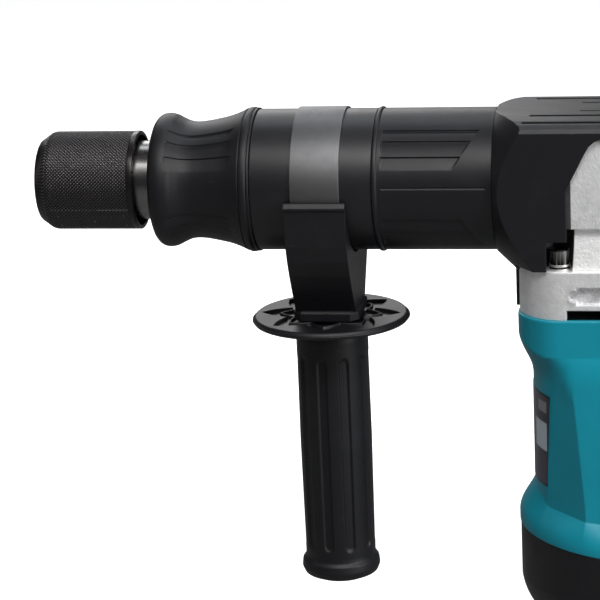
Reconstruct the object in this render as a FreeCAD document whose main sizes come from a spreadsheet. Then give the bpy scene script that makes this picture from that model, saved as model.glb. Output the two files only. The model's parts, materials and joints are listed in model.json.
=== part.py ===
"""Electric jackhammer (demolition hammer) with a horizontal barrel, a motor that hangs under the crank
housing, a rear D-handle and a side handle clamped round the barrel.

Units are millimetres. The origin is the centre of the tool holder's mouth. The barrel axis is X, pointing
back towards the D-handle, Z is up, and the machine is nearly symmetric about the XZ plane.
"""

import FreeCAD, Part
import math
import os
import re
import Sketcher
from FreeCAD import Placement, Rotation, Vector

doc = FreeCAD.newDocument("electric_jackhammer")
sheet = doc.addObject("Spreadsheet::Sheet", "Dimensions")

# Driving dimensions. "_x" and "_z" values are places in the machine's frame.
DIMENSIONS = {
    # tool holder and quick-release chuck
    "lead_in_radius": 10.0,
    "lead_in_depth": 9.0,
    "hex_flats": 17.2,
    "hex_end_x": 60.0,
    "holder_waist": 14.5,
    "neck_radius": 20.5,
    "neck_start_x": 50.0,
    "holder_end_x": 112.0,
    "anvil_bore": 13.5,
    "ball_radius": 4.5,
    "ball_x": 20.0,
    "ball_height": 10.0,
    "sleeve_radius": 25.7,
    "sleeve_front_x": 0.5,
    "sleeve_rear_x": 53.6,
    "sleeve_travel": 7.5,
    # barrel
    "collar_front_x": 62.0,
    "barrel_nose": 27.0,
    "barrel_shoulder_x": 117.0,
    "barrel_radius": 36.5,
    "barrel_seam_x": 179.7,
    "barrel_core": 33.4,
    "cover_end_x": 240.6,
    "barrel_end_x": 249.0,
    "cylinder_bore": 22.0,
    "cylinder_outer": 26.4,
    # side handle
    "band_x": 150.7,
    "band_width": 25.3,
    "band_thickness": 1.0,
    "guard_z": -72.0,
    "guard_radius": 41.4,
    "grip_radius": 19.2,
    "grip_end_z": -217.0,
    # crank mechanism
    "motor_x": 298.0,
    "gear_module": 0.9,
    "pinion_teeth": 8.0,
    "gear_teeth": 40.0,
    "crank_throw": 16.0,
    "rod_length": 54.0,
    "piston_radius": 21.9,
    # crank housing, its cover and the motor bracket
    "housing_half": 37.0,
    "housing_top_z": 34.0,
    "shroud_half": 40.0,
    "shroud_top_z": 36.8,
    "housing_rear_x": 345.0,
    "bracket_top_z": -39.5,
    "bracket_bottom_z": -64.5,
    "bracket_front_x": 251.5,
    "bracket_half": 40.0,
    "bracket_corner": 24.0,
    # motor
    "motor_radius": 43.0,
    "motor_wall": 2.8,
    "flare_radius": 50.3,
    "tail_bottom_z": -238.0,
    "stator_radius": 38.2,
    "stator_bore": 23.0,
    "rotor_radius": 22.4,
    "rotor_shaft": 5.0,
    "brush_z": -161.0,
    "brush_turn": 25.0,
    "parting_front_z": -182.0,
    "parting_slope": 0.143,
    # rear D-handle
    "handle_start_x": 366.0,
    "handle_half": 18.0,
    "handle_wall": 3.0,
    "cable_bore": 4.5,
}
for row, (alias, size) in enumerate(DIMENSIONS.items(), start=1):
    sheet.set(f"A{row}", alias)
    sheet.set(f"B{row}", str(size))
    sheet.setAlias(f"B{row}", alias)
doc.recompute()

SUBPARTS = []
WORD = re.compile(r"[a-z][a-z_]+")


def bound(text):
    """An expression on the sheet's aliases, as FreeCAD wants it written."""
    return WORD.sub(lambda m: "Dimensions." + m[0] if m[0] in DIMENSIONS else m[0], str(text))


def size(text):
    """The number that such an expression gives now."""
    return float(sheet.evalExpression(bound(text)))


def subpart(thing, label):
    """Names an object as a piece of the machine, which is written to its own STEP file."""
    thing.Label = label
    SUBPARTS.append(thing)
    return thing


def place(thing, x="0", y="0", z="0", turn=None):
    """Puts an object at a point given by expressions, turned by a Rotation."""
    thing.Placement = Placement(Vector(size(x), size(y), size(z)), turn or Rotation())
    for axis, text in (("x", x), ("y", y), ("z", z)):
        thing.setExpression(f"Placement.Base.{axis}", bound(text))
    return thing


def outline_sketch(body, plane, outline):
    """A closed polygon on one of the body's origin planes, with each corner held by two bound distances."""
    sketch = body.newObject("Sketcher::SketchObject", body.Name + "_outline")
    for feature in body.Origin.OriginFeatures:
        if feature.Role == plane:
            sketch.AttachmentSupport = (feature, "")
    sketch.MapMode = "FlatFace"
    corners = [Vector(size(a), size(b), 0) for a, b in outline]
    for here, there in zip(corners, corners[1:] + corners[:1]):
        sketch.addGeometry(Part.LineSegment(here, there), False)
    count = len(corners)
    for line in range(count):
        sketch.addConstraint(Sketcher.Constraint("Coincident", line, 2, (line + 1) % count, 1))
    for line, (pair, corner) in enumerate(zip(outline, corners)):
        for kind, text, number, axis in (
            ("DistanceX", pair[0], corner.x, -2),
            ("DistanceY", pair[1], corner.y, -1),
        ):
            if abs(number) < 1e-9:
                sketch.addConstraint(Sketcher.Constraint("PointOnObject", line, 1, axis))
                continue
            held = sketch.addConstraint(Sketcher.Constraint(kind, -1, 1, line, 1, number))
            sketch.setExpression(f"Constraints[{held}]", bound(text))
    return sketch


def turned(name, outline, axis="X"):
    """A body turned about X or Z from a closed outline of (distance along the axis, radius) pairs."""
    body = doc.addObject("PartDesign::Body", name)
    if axis == "X":
        sketch, line = outline_sketch(body, "XZ_Plane", outline), "H_Axis"
    else:
        sketch, line = outline_sketch(body, "XZ_Plane", [(r, a) for a, r in outline]), "V_Axis"
    revolution = body.newObject("PartDesign::Revolution", name + "_turn")
    revolution.Profile = sketch
    revolution.ReferenceAxis = (sketch, [line])
    revolution.Angle = 360
    body.Tip = revolution
    return body


def box(name, x, y, z, at):
    """A Part::Box of bound sizes with its low corner at bound places."""
    solid = doc.addObject("Part::Box", name)
    for side, text in (("Length", x), ("Width", y), ("Height", z)):
        solid.setExpression(side, bound(text))
    return place(solid, *at)


ALONG_X = Rotation(Vector(0, 1, 0), 90)
ALONG_Y = Rotation(Vector(1, 0, 0), -90)
ALONG_Z = Rotation()


def cylinder(name, radius, length, at, along=ALONG_Z):
    """A Part::Cylinder that starts at a point and runs along X, Y or Z."""
    solid = doc.addObject("Part::Cylinder", name)
    solid.setExpression("Radius", bound(radius))
    solid.setExpression("Height", bound(length))
    return place(solid, *at, turn=along)


def tube(name, outer, inner, length, at, along=ALONG_Z):
    """A round tube, or a washer, between two radii."""
    return cut(
        name,
        cylinder(name + "_outer", outer, length, at, along),
        cylinder(name + "_inner", inner, length, at, along),
    )


def fuse(name, *things):
    joined = doc.addObject("Part::MultiFuse", name)
    joined.Shapes = list(things)
    return joined


def cut(name, base, *tools):
    whole = doc.addObject("Part::Cut", name)
    whole.Base = base
    whole.Tool = tools[0] if len(tools) == 1 else fuse(name + "_tools", *tools)
    return whole


def feature(name, shape):
    """A piece whose shape comes from Part's own functions."""
    thing = doc.addObject("Part::Feature", name)
    thing.Shape = shape
    return thing


def group(name, things):
    """Identical separate solids kept in one node."""
    together = doc.addObject("Part::Compound", name)
    together.Links = list(things)
    return together


def coil(name, start, end, radius, wire, turns, along):
    """A compression spring of round wire between two points on its axis."""
    helix = Part.makeHelix((end - start) / turns, end - start, radius)
    profile = Part.Wire(Part.makeCircle(wire, Vector(radius, 0, 0), Vector(0, 1, 0)))
    shape = Part.Wire(helix.Edges).makePipeShell([profile], True, True)
    spring = feature(name, shape)
    spring.Placement = Placement(along.multVec(Vector(0, 0, start)), along)
    return spring


def moved(thing, x=0.0, y=0.0, z=0.0):
    """Shifts a feature that was made at the origin."""
    thing.Placement = Placement(thing.Placement.Base + Vector(x, y, z), thing.Placement.Rotation)
    return thing


# ---------------------------------------------------------------- tool holder and chuck


def tool_holder():
    """Steel tube with a hexagonal socket in front and the bore of the anvil behind it."""
    blank = turned(
        "holder_blank",
        [
            ("0", "lead_in_radius"),
            ("0", "holder_waist - 1"),
            ("1", "holder_waist"),
            ("neck_start_x", "holder_waist"),
            ("neck_start_x", "neck_radius"),
            ("72", "neck_radius"),
            ("72", "24"),
            ("78", "24"),
            ("78", "21"),
            ("holder_end_x", "21"),
            ("holder_end_x", "anvil_bore"),
            ("hex_end_x + 4", "anvil_bore"),
            ("hex_end_x", "hex_flats / 2 - 1"),
            ("lead_in_depth", "hex_flats / 2 - 1"),
            ("lead_in_depth", "lead_in_radius"),
        ],
    )
    hexagon = doc.addObject("Part::Prism", "socket_hexagon")
    hexagon.Polygon = 6
    hexagon.setExpression("Circumradius", bound("hex_flats / sqrt(3)"))
    hexagon.setExpression("Height", bound("hex_end_x - 1"))
    place(hexagon, "2", turn=ALONG_X)
    windows = [
        cylinder("ball_window_" + side, "ball_radius + 0.1", "30", ("ball_x", "0", z))
        for side, z in (("upper", "0"), ("lower", "-30"))
    ]
    return subpart(cut("tool_holder", blank, hexagon, *windows), "tool_holder")


def chuck_sleeve():
    """Knurled sleeve: its inner cone pushes the two lock balls in, and pulling it back frees them."""
    sleeve = turned(
        "chuck_sleeve",
        [
            ("sleeve_front_x", "holder_waist + 0.15"),
            ("sleeve_front_x", "21.2"),
            ("2.2", "23.2"),
            ("4.6", "24.8"),
            ("8.4", "sleeve_radius"),
            ("sleeve_rear_x - 1.2", "sleeve_radius"),
            ("sleeve_rear_x", "sleeve_radius - 1"),
            ("sleeve_rear_x", "23.8"),
            ("41", "23.8"),
            ("41", "19.6"),
            ("30", "19.6"),
            ("30", "holder_waist + 0.1"),
            ("ball_x + 0.94", "holder_waist + 0.1"),
            ("ball_x - 7", "18"),
            ("4.5", "18"),
            ("4.5", "holder_waist + 0.15"),
        ],
    )
    subpart(sleeve, "chuck_sleeve")
    for side, height in (("upper", "ball_height"), ("lower", "-ball_height")):
        ball = doc.addObject("Part::Sphere", "lock_ball_" + side)
        ball.setExpression("Radius", bound("ball_radius"))
        subpart(place(ball, "ball_x", "0", height), "lock_ball_" + side)
    subpart(coil("chuck_spring", 30.9, 49.1, 17.0, 0.9, 5, ALONG_X), "chuck_spring")
    return sleeve


# ---------------------------------------------------------------- barrel


def barrel():
    """Cast barrel: bare between the front grip and the seam, thinner under the rear cover."""
    core = turned(
        "barrel",
        [
            ("65", "neck_radius + 0.05"),
            ("65", "barrel_nose"),
            ("barrel_shoulder_x", "barrel_nose"),
            ("barrel_shoulder_x", "barrel_radius"),
            ("barrel_seam_x", "barrel_radius"),
            ("barrel_seam_x", "barrel_core"),
            ("barrel_end_x", "barrel_core"),
            ("barrel_end_x", "cylinder_outer + 0.05"),
            ("124", "cylinder_outer + 0.05"),
            ("124", "24.1"),
            ("113", "24.1"),
            ("113", "21.05"),
            ("92", "21.05"),
            ("92", "24.1"),
            ("71.9", "24.1"),
            ("71.9", "neck_radius + 0.05"),
        ],
    )
    return subpart(core, "barrel")


def front_grip_cover():
    """Waisted rubber grip on the barrel's nose: a rolled lip in front and a raised bead behind."""
    profile = [
        (62.3, 27.5),
        (63.2, 31.2),
        (65.6, 34.0),
        (69.3, 34.9),
        (73.2, 34.1),
        (78.0, 31.3),
        (84.5, 30.3),
        (93.0, 31.2),
        (101.0, 32.7),
        (107.5, 34.9),
        (111.6, 36.9),
    ]
    skin = Part.BSplineCurve()
    skin.interpolate([Vector(x, 0, r) for x, r in profile])
    inner = size("barrel_nose + 0.05")
    shoulder, front = size("barrel_shoulder_x"), profile[0][0]
    corners = [
        Vector(111.6, 0, 36.9),
        Vector(113.0, 0, 37.5),
        Vector(116.2, 0, 37.5),
        Vector(shoulder - 0.05, 0, 36.9),
        Vector(shoulder - 0.05, 0, inner),
        Vector(64.9, 0, inner),
        Vector(64.9, 0, size("neck_radius") + 0.3),
        Vector(front, 0, size("neck_radius") + 0.3),
        Vector(front, 0, 27.5),
    ]
    edges = [skin.toShape()] + [Part.makeLine(a, b) for a, b in zip(corners, corners[1:])]
    face = Part.Face(Part.Wire(edges))
    grip = face.revolve(Vector(), Vector(1, 0, 0), 360)
    return subpart(feature("front_grip_cover", grip), "front_grip_cover")


def rear_barrel_cover():
    """Plastic jacket on the back half of the barrel, with a bead at the seam and sunk panels."""
    jacket = turned(
        "rear_cover_blank",
        [
            ("barrel_seam_x + 0.05", "barrel_core + 0.05"),
            ("barrel_seam_x + 0.05", "barrel_radius"),
            ("barrel_seam_x + 0.4", "barrel_radius + 0.8"),
            ("barrel_seam_x + 2.2", "barrel_radius + 0.8"),
            ("barrel_seam_x + 2.8", "barrel_radius"),
            ("cover_end_x", "barrel_radius"),
            ("cover_end_x", "barrel_core + 0.05"),
        ],
    )
    grooves = []
    depth, wide = size("barrel_radius - 0.7"), 1.6
    for angle, length in ((28, 44), (17, 41), (6, 38), (-13, 49), (-33, 38), (-44, 42), (-54, 45)):
        for side, low_y in ((-1, -depth - wide), (1, depth)):
            groove = doc.addObject("Part::Box", f"cover_groove_{len(grooves)}")
            groove.Length, groove.Width, groove.Height = length, wide, 1.0
            turn = Rotation(Vector(1, 0, 0), side * angle)
            groove.Placement = Placement(turn.multVec(Vector(184, low_y, -0.5)), turn)
            grooves.append(groove)
    return subpart(cut("rear_barrel_cover", jacket, *grooves), "rear_barrel_cover")


def cylinder_liner():
    """Steel cylinder in which the piston and the striker run."""
    liner = tube("cylinder_liner", "cylinder_outer", "cylinder_bore", "115.8", ("124.2", "0", "0"), ALONG_X)
    return subpart(liner, "cylinder_liner")


def hammer_parts():
    """Anvil, striker and piston, each with its rubber ring, and the piston's wrist pin."""
    anvil = turned(
        "anvil",
        [
            ("66", "0"),
            ("66", "7.4"),
            ("67", "8.2"),
            ("76", "8.2"),
            ("78", "anvil_bore - 0.05"),
            ("83", "anvil_bore - 0.05"),
            ("83", "11.6"),
            ("86", "11.6"),
            ("86", "anvil_bore - 0.05"),
            ("92", "anvil_bore - 0.05"),
            ("94", "9"),
            ("114", "9"),
            ("114", "0"),
        ],
    )
    subpart(anvil, "anvil")
    ring = tube("anvil_ring", "anvil_bore - 0.05", "11.65", "2.8", ("83.1", "0", "0"), ALONG_X)
    subpart(ring, "anvil_ring")
    striker = turned(
        "striker",
        [
            ("128", "0"),
            ("128", "12"),
            ("131", "cylinder_bore - 0.1"),
            ("148", "cylinder_bore - 0.1"),
            ("148", "19.6"),
            ("151", "19.6"),
            ("151", "cylinder_bore - 0.1"),
            ("160", "cylinder_bore - 0.1"),
            ("160", "12"),
            ("152", "10"),
            ("152", "0"),
        ],
    )
    subpart(striker, "striker")
    ring = tube("striker_ring", "cylinder_bore - 0.05", "19.65", "2.8", ("148.1", "0", "0"), ALONG_X)
    subpart(ring, "striker_ring")
    wrist = "(motor_x - gear_module * (gear_teeth + pinion_teeth) / 2 - crank_throw - rod_length)"
    crown = turned(
        "piston_blank",
        [
            (f"{wrist} - 20", "0"),
            (f"{wrist} - 20", "piston_radius"),
            (f"{wrist} - 15", "piston_radius"),
            (f"{wrist} - 15", "19.4"),
            (f"{wrist} - 12", "19.4"),
            (f"{wrist} - 12", "piston_radius"),
            (f"{wrist} + 14", "piston_radius"),
            (f"{wrist} + 14", "17"),
            (f"{wrist} - 10", "17"),
            (f"{wrist} - 10", "0"),
        ],
    )
    pin_hole = cylinder("piston_pin_hole", "5.03", "60", (wrist, "0", "-30"))
    subpart(cut("piston", crown, pin_hole), "piston")
    ring = tube("piston_ring", "cylinder_bore - 0.05", "19.45", "2.8", (f"{wrist} - 14.9", "0", "0"), ALONG_X)
    subpart(ring, "piston_ring")
    subpart(cylinder("wrist_pin", "5", "41", (wrist, "0", "-20.5")), "wrist_pin")
    rod = cut(
        "connecting_rod",
        fuse(
            "rod_blank",
            cylinder("rod_small_end", "9.5", "12", (wrist, "0", "-6")),
            cylinder("rod_big_end", "10.5", "12", (f"{wrist} + rod_length", "0", "-6")),
            box("rod_beam", "rod_length", "11", "8", (wrist, "-5.5", "-4")),
        ),
        cylinder("rod_small_bore", "5.04", "14", (wrist, "0", "-7")),
        cylinder("rod_big_bore", "5.04", "14", (f"{wrist} + rod_length", "0", "-7")),
    )
    return subpart(rod, "connecting_rod")


# ---------------------------------------------------------------- crank, gears and bearings

CRANK_X = "(motor_x - gear_module * (gear_teeth + pinion_teeth) / 2)"


def gear_face(teeth, module, shift, tip, root, backlash, phase):
    """A spur gear's face from straight-sided stations along each involute flank."""
    pressure = math.radians(20)
    pitch = teeth * module / 2
    base = pitch * math.cos(pressure)
    half = (math.pi / 2 + 2 * shift * math.tan(pressure)) / teeth - backlash / (2 * pitch)
    half_at_base = half + math.tan(pressure) - pressure
    points = []
    stations = 5
    for tooth in range(teeth):
        middle = phase + 2 * math.pi * tooth / teeth
        flank = []
        low = max(base, root)
        for step in range(stations):
            radius = low + (tip - low) * step / (stations - 1)
            roll = math.acos(min(1.0, base / radius))
            flank.append((radius, half_at_base - (math.tan(roll) - roll)))
        if root < base:
            flank.insert(0, (root, half_at_base))
        for radius, spread in flank:
            points.append((radius, middle - spread))
        for radius, spread in reversed(flank):
            points.append((radius, middle + spread))
    corners = [Vector(r * math.cos(a), r * math.sin(a), 0) for r, a in points]
    return Part.Face(Part.makePolygon(corners + corners[:1]))


def gear(name, teeth, shift, addendum, dedendum, bore, thickness, phase):
    """A spur gear of the machine's module, standing on the XY plane with its axis on Z."""
    module = size("gear_module")
    pitch = teeth * module / 2
    tip, root = pitch + addendum * module, pitch - dedendum * module
    face = gear_face(teeth, module, shift, tip, root, 0.12, phase)
    wheel = face.extrude(Vector(0, 0, thickness))
    if bore:
        wheel = wheel.cut(Part.makeCylinder(bore, thickness))
    return wheel


def ball_bearing(name, x, z, width, outer, inner, balls):
    """Outer race and balls in one node, and the inner race, which turns with the shaft, in another."""
    middle = (outer + inner) / 2
    ball = min((outer - inner) * 0.29, width * 0.36)
    race = (outer - inner) * 0.25
    ring = Part.makeTorus(middle, ball + 0.03)
    ring.translate(Vector(0, 0, width / 2))
    outside = Part.makeCylinder(outer, width).cut(Part.makeCylinder(outer - race, width)).cut(ring)
    inside = Part.makeCylinder(inner + race, width).cut(Part.makeCylinder(inner, width)).cut(ring)
    spheres = []
    for number in range(balls):
        angle = 2 * math.pi * number / balls
        at = Vector(middle * math.cos(angle), middle * math.sin(angle), width / 2)
        spheres.append(Part.makeSphere(ball, at))
    fixed = feature(name + "_outer", Part.makeCompound([outside] + spheres))
    turning = feature(name + "_inner", inside)
    for piece in (fixed, turning):
        place(piece, x, "0", z)
    return fixed, turning


def crank_parts():
    """Crankshaft with its disc and short crank pin, the crank gear and the crankshaft's two bearings."""
    shaft = turned(
        "crankshaft_turning",
        [
            ("-46.5", "0"),
            ("-46.5", "4"),
            ("-38.5", "4"),
            ("-38.5", "7"),
            ("-28", "7"),
            ("-28", "8.5"),
            ("-18.5", "8.5"),
            ("-18.5", "10.5"),
            ("-18", "10.5"),
            ("-18", "22"),
            ("-11", "22"),
            ("-11", "0"),
        ],
        axis="Z",
    )
    place(shaft, CRANK_X)
    pin = cylinder("crank_pin", "5", "4.5", (f"{CRANK_X} - crank_throw", "0", "-11"))
    subpart(fuse("crankshaft", shaft, pin), "crankshaft")
    teeth = int(size("gear_teeth"))
    wheel = gear("crank_gear", teeth, -0.45, 0.5, 1.7, 7.05, 9, math.pi / teeth)
    web = Part.makeCylinder(18, 3).cut(Part.makeCylinder(10, 3))
    wheel = wheel.cut(web)
    subpart(place(feature("crank_gear", wheel), CRANK_X, "0", "-37.4"), "crank_gear")
    upper = ball_bearing("crank_upper_bearing", CRANK_X, "-27.5", 8.9, 17.5, 8.53, 9)
    lower = ball_bearing("crank_lower_bearing", CRANK_X, "-46.5", 7.0, 11.0, 4.03, 7)
    return upper, lower


def armature_parts():
    """Armature about a vertical axis: shaft with its pinion, core, windings, commutator, fan and bearings."""
    shaft = turned(
        "armature_turning",
        [
            ("-189", "0"),
            ("-189", "4"),
            ("-178", "4"),
            ("-178", "rotor_shaft"),
            ("-62", "rotor_shaft"),
            ("-62", "4"),
            ("-50", "4"),
            ("-50", "2.7"),
            ("-38", "2.7"),
            ("-38", "0"),
        ],
        axis="Z",
    )
    place(shaft, "motor_x")
    teeth = int(size("pinion_teeth"))
    pinion = gear("pinion", teeth, 0.45, 1.2, 0.8, 0, 10.2, 0.0)
    cap = place(feature("pinion_teeth", pinion), "motor_x", "0", "-38")
    subpart(fuse("armature_shaft", shaft, cap), "armature_shaft")
    core = Part.makeCylinder(size("rotor_radius"), 46).cut(Part.makeCylinder(size("rotor_shaft"), 46))
    for slot in range(12):
        gap = Part.makeBox(7, 1.6, 46, Vector(size("rotor_radius") - 6, -0.8, 0))
        gap.rotate(Vector(), Vector(0, 0, 1), 30 * slot)
        core = core.cut(gap)
    subpart(place(feature("armature_core", core), "motor_x", "0", "-138"), "armature_core")
    windings = [
        place(turned(f"winding_{end}", [(a, r) for a, r in shape], axis="Z"), "motor_x", "0", z)
        for end, z, shape in (
            ("upper", "-92", (("0", "5.1"), ("0", "20.5"), ("5", "19.5"), ("8", "14"), ("8", "5.1"))),
            ("lower", "-149", (("0", "5.1"), ("0", "13"), ("4", "19"), ("11", "20.5"), ("11", "5.1"))),
        )
    ]
    subpart(group("armature_windings", windings), "armature_windings")
    commutator = Part.makeCylinder(14, 20).cut(Part.makeCylinder(size("rotor_shaft"), 20))
    for slot in range(24):
        gap = Part.makeBox(2, 0.6, 16, Vector(12.6, -0.3, 2))
        gap.rotate(Vector(), Vector(0, 0, 1), 15 * slot)
        commutator = commutator.cut(gap)
    subpart(place(feature("commutator", commutator), "motor_x", "0", "-171"), "commutator")
    hub = Part.makeCylinder(9, 14).fuse(Part.makeCylinder(35, 2, Vector(0, 0, 12)))
    blades = []
    for number in range(11):
        blade = Part.makeBox(24, 1.6, 12, Vector(8.5, -0.8, 0.5))
        blade.rotate(Vector(8.5, 0, 0), Vector(0, 0, 1), 18)
        blade.rotate(Vector(), Vector(0, 0, 1), 360 / 11 * number)
        blades.append(blade)
    fan = hub.multiFuse(blades).cut(Part.makeCylinder(size("rotor_shaft"), 14))
    subpart(place(feature("cooling_fan", fan), "motor_x", "0", "-82"), "cooling_fan")
    upper = ball_bearing("motor_upper_bearing", "motor_x", "-61.5", 9.0, 14.0, 4.03, 8)
    lower = ball_bearing("motor_lower_bearing", "motor_x", "-188", 8.0, 12.0, 4.03, 7)
    return upper, lower


def bearings(crank, motor):
    """One node holds the outer races with their balls, and each shaft has one for its inner races."""
    subpart(group("outer_races", [pair[0] for pair in crank + motor]), "bearing_outer_races")
    for name, pairs in (("crank_bearing", crank), ("motor_bearing", motor)):
        subpart(group(name + "_inners", [pair[1] for pair in pairs]), name + "_inner_races")


# ---------------------------------------------------------------- crank housing, cover and bracket


def rounded_box_wire(front, rear, half, corner, z):
    """A rounded rectangle in plan at height z, as a wire of four lines and four arcs."""
    turn = corner * math.sqrt(0.5)
    points = []
    corners = ((rear, half, 1, 1), (front, half, -1, 1), (front, -half, -1, -1), (rear, -half, 1, -1))
    for x, y, sx, sy in corners:
        centre = Vector(x - sx * corner, y - sy * corner, z)
        side = Vector(x, y - sy * corner, z)
        end = Vector(x - sx * corner, y, z)
        middle = centre + Vector(sx * turn, sy * turn, 0)
        points.append((side, middle, end) if sx * sy > 0 else (end, middle, side))
    edges = []
    for here, there in zip(points, points[1:] + points[:1]):
        edges.append(Part.Arc(*here).toShape())
        if (there[0] - here[2]).Length > 1e-6:
            edges.append(Part.makeLine(here[2], there[0]))
    return Part.Wire(edges)


def bolt_places():
    """The (x, y) of the four bracket bolts."""
    front = 273.5
    rear = 2 * size("motor_x") - front
    return [(x, y) for x in (front, rear) for y in (-32.5, 32.5)]


def hexagon_wire(radius):
    """A hexagon about the origin by its corner radius."""
    angles = [math.pi / 3 * k for k in range(7)]
    return Part.makePolygon([Vector(radius * math.cos(a), radius * math.sin(a), 0) for a in angles])


def motor_bracket():
    """Cast plate between the crank housing and the motor, with a pocket in each flank and bearing seats."""
    front, half = size("bracket_front_x"), size("bracket_half")
    rear = 2 * size("motor_x") - front
    top, bottom = size("bracket_top_z"), size("bracket_bottom_z")
    plate = Part.Face(rounded_box_wire(front, rear, half, size("bracket_corner"), bottom))
    plate = plate.extrude(Vector(0, 0, top - bottom))
    motor = size("motor_x")
    hollow = Part.Face(rounded_box_wire(front + 5, rear - 5, half - 5, 20, bottom)).extrude(Vector(0, 0, 12))
    cuts = [
        hollow,
        Part.makeCylinder(14.02, 12, Vector(motor, 0, bottom + 3)),
        Part.makeCylinder(6, 30, Vector(motor, 0, bottom)),
        Part.makeCylinder(11.02, 9, Vector(size(CRANK_X), 0, -46.6)),
    ]
    seat = Part.makeCylinder(18, 13.5, Vector(motor, 0, bottom))
    plate = plate.cut(cuts[0]).fuse(seat)
    for tool in cuts[1:]:
        plate = plate.cut(tool)
    for side in (-1, 1):
        pocket = Part.makeCylinder(3, 5, Vector(281, 0, -52), Vector(0, 1, 0))
        pocket = Part.makeBox(40, 5, 9, Vector(282, 0, -56.5)).fuse(pocket)
        pocket.translate(Vector(0, half - 3 if side > 0 else -half - 2, 0))
        notch = Part.makeBox(42, 8, 5.2, Vector(277, half - 5 if side > 0 else -half - 3, bottom))
        plate = plate.cut(pocket).cut(notch)
    for x, y in bolt_places():
        plate = plate.cut(Part.makeCylinder(3.05, 30, Vector(x, y, bottom - 1)))
    return subpart(feature("motor_bracket", plate), "motor_bracket")


def bracket_bolts():
    """Four socket-head bolts with a washer each, in the corners of the bracket."""
    solids = []
    for x, y in bolt_places():
        top = Vector(x, y, size("bracket_top_z"))
        head = Part.makeCylinder(5, 7.7, top + Vector(0, 0, 3.1))
        head = head.makeFillet(0.8, [head.Edges[0]])
        socket = Part.Face(hexagon_wire(2.9)).extrude(Vector(0, 0, 3.5))
        socket.translate(top + Vector(0, 0, 7.8))
        shank = Part.makeCylinder(3, 36, top + Vector(0, 0, -32.9))
        washer = Part.makeCylinder(5.4, 3.0, top + Vector(0, 0, 0.05)).cut(Part.makeCylinder(3.05, 3.2, top))
        groove = Part.makeTorus(5.5, 0.5)
        groove.translate(top + Vector(0, 0, 1.5))
        solids += [head.fuse(shank).cut(socket), washer.cut(groove)]
    return subpart(feature("bracket_bolts", Part.makeCompound(solids)), "bracket_bolts")


def casting_section(grow):
    """Half section of the crank housing's box above its lower neck, grown by a gap."""
    top, half = size("housing_top_z") + grow, size("housing_half") + grow
    return [(0, top), (22.4, top), (35.2, top - 3.8), (half, top - 7.7)]


def neck_plan(grow):
    """The round-cornered column inside which the crank housing's lower neck stays."""
    wire = rounded_box_wire(251.8 - grow, 420, size("housing_half") + grow, 22 + grow, -48)
    return Part.Face(wire).extrude(Vector(0, 0, 31))


def crank_housing():
    """Aluminium casting round the crank, open in front to the barrel and below to the gears."""
    rear = size("housing_rear_x") - 2
    low = -18
    block = section_prism(casting_section(0) + [(size("housing_half"), low), (0, low)], 243, rear)
    foot = [Vector(251.8, y, z) for y, z in ((-33, low), (33, low), (36.5, -39.4), (-36.5, -39.4))]
    neck = Part.Face(Part.makePolygon(foot + foot[:1])).extrude(Vector(rear - 8 - 251.8, 0, 0))
    neck = neck.common(neck_plan(0))
    slope = Part.makeCone(35.0, 99.8, 70, Vector(size("cover_end_x"), 0, 0), Vector(1, 0, 0))
    front = block.common(slope)
    back = block.common(Part.makeBox(100, 120, 120, Vector(size("cover_end_x") + 35, -60, -60)))
    casting = front.fuse(back).fuse(neck).removeSplitter()
    crank = size(CRANK_X)
    cuts = [
        Part.makeCylinder(size("barrel_core") + 0.05, 7, Vector(242.5, 0, 0), Vector(1, 0, 0)),
        Part.makeBox(72.5, 61, 46, Vector(249.05, -30.5, low - 0.5)),
        Part.makeCylinder(24, 10, Vector(245, 0, 0), Vector(1, 0, 0)),
        Part.makeCylinder(17.52, 12, Vector(crank, 0, -27.55)),
        Part.makeCylinder(21, 12.1, Vector(crank, 0, -39.6)),
        Part.makeCylinder(7, 12.1, Vector(size("motor_x"), 0, -39.6)),
    ]
    for tool in cuts:
        casting = casting.cut(tool)
    for x, y in bolt_places():
        casting = casting.cut(Part.makeCylinder(7.4, 21.5, Vector(x, y, -39.6)))
    return subpart(feature("crank_housing", casting), "crank_housing")


def section_prism(points, start, end):
    """Extrudes a half section of (y, z) corners, mirrored about the XZ plane, from one x to another."""
    right = [Vector(start, y, z) for y, z in points]
    left = [Vector(start, -y, z) for y, z in reversed(points) if y > 0]
    return Part.Face(Part.makePolygon(right + left + right[:1])).extrude(Vector(end - start, 0, 0))


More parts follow.
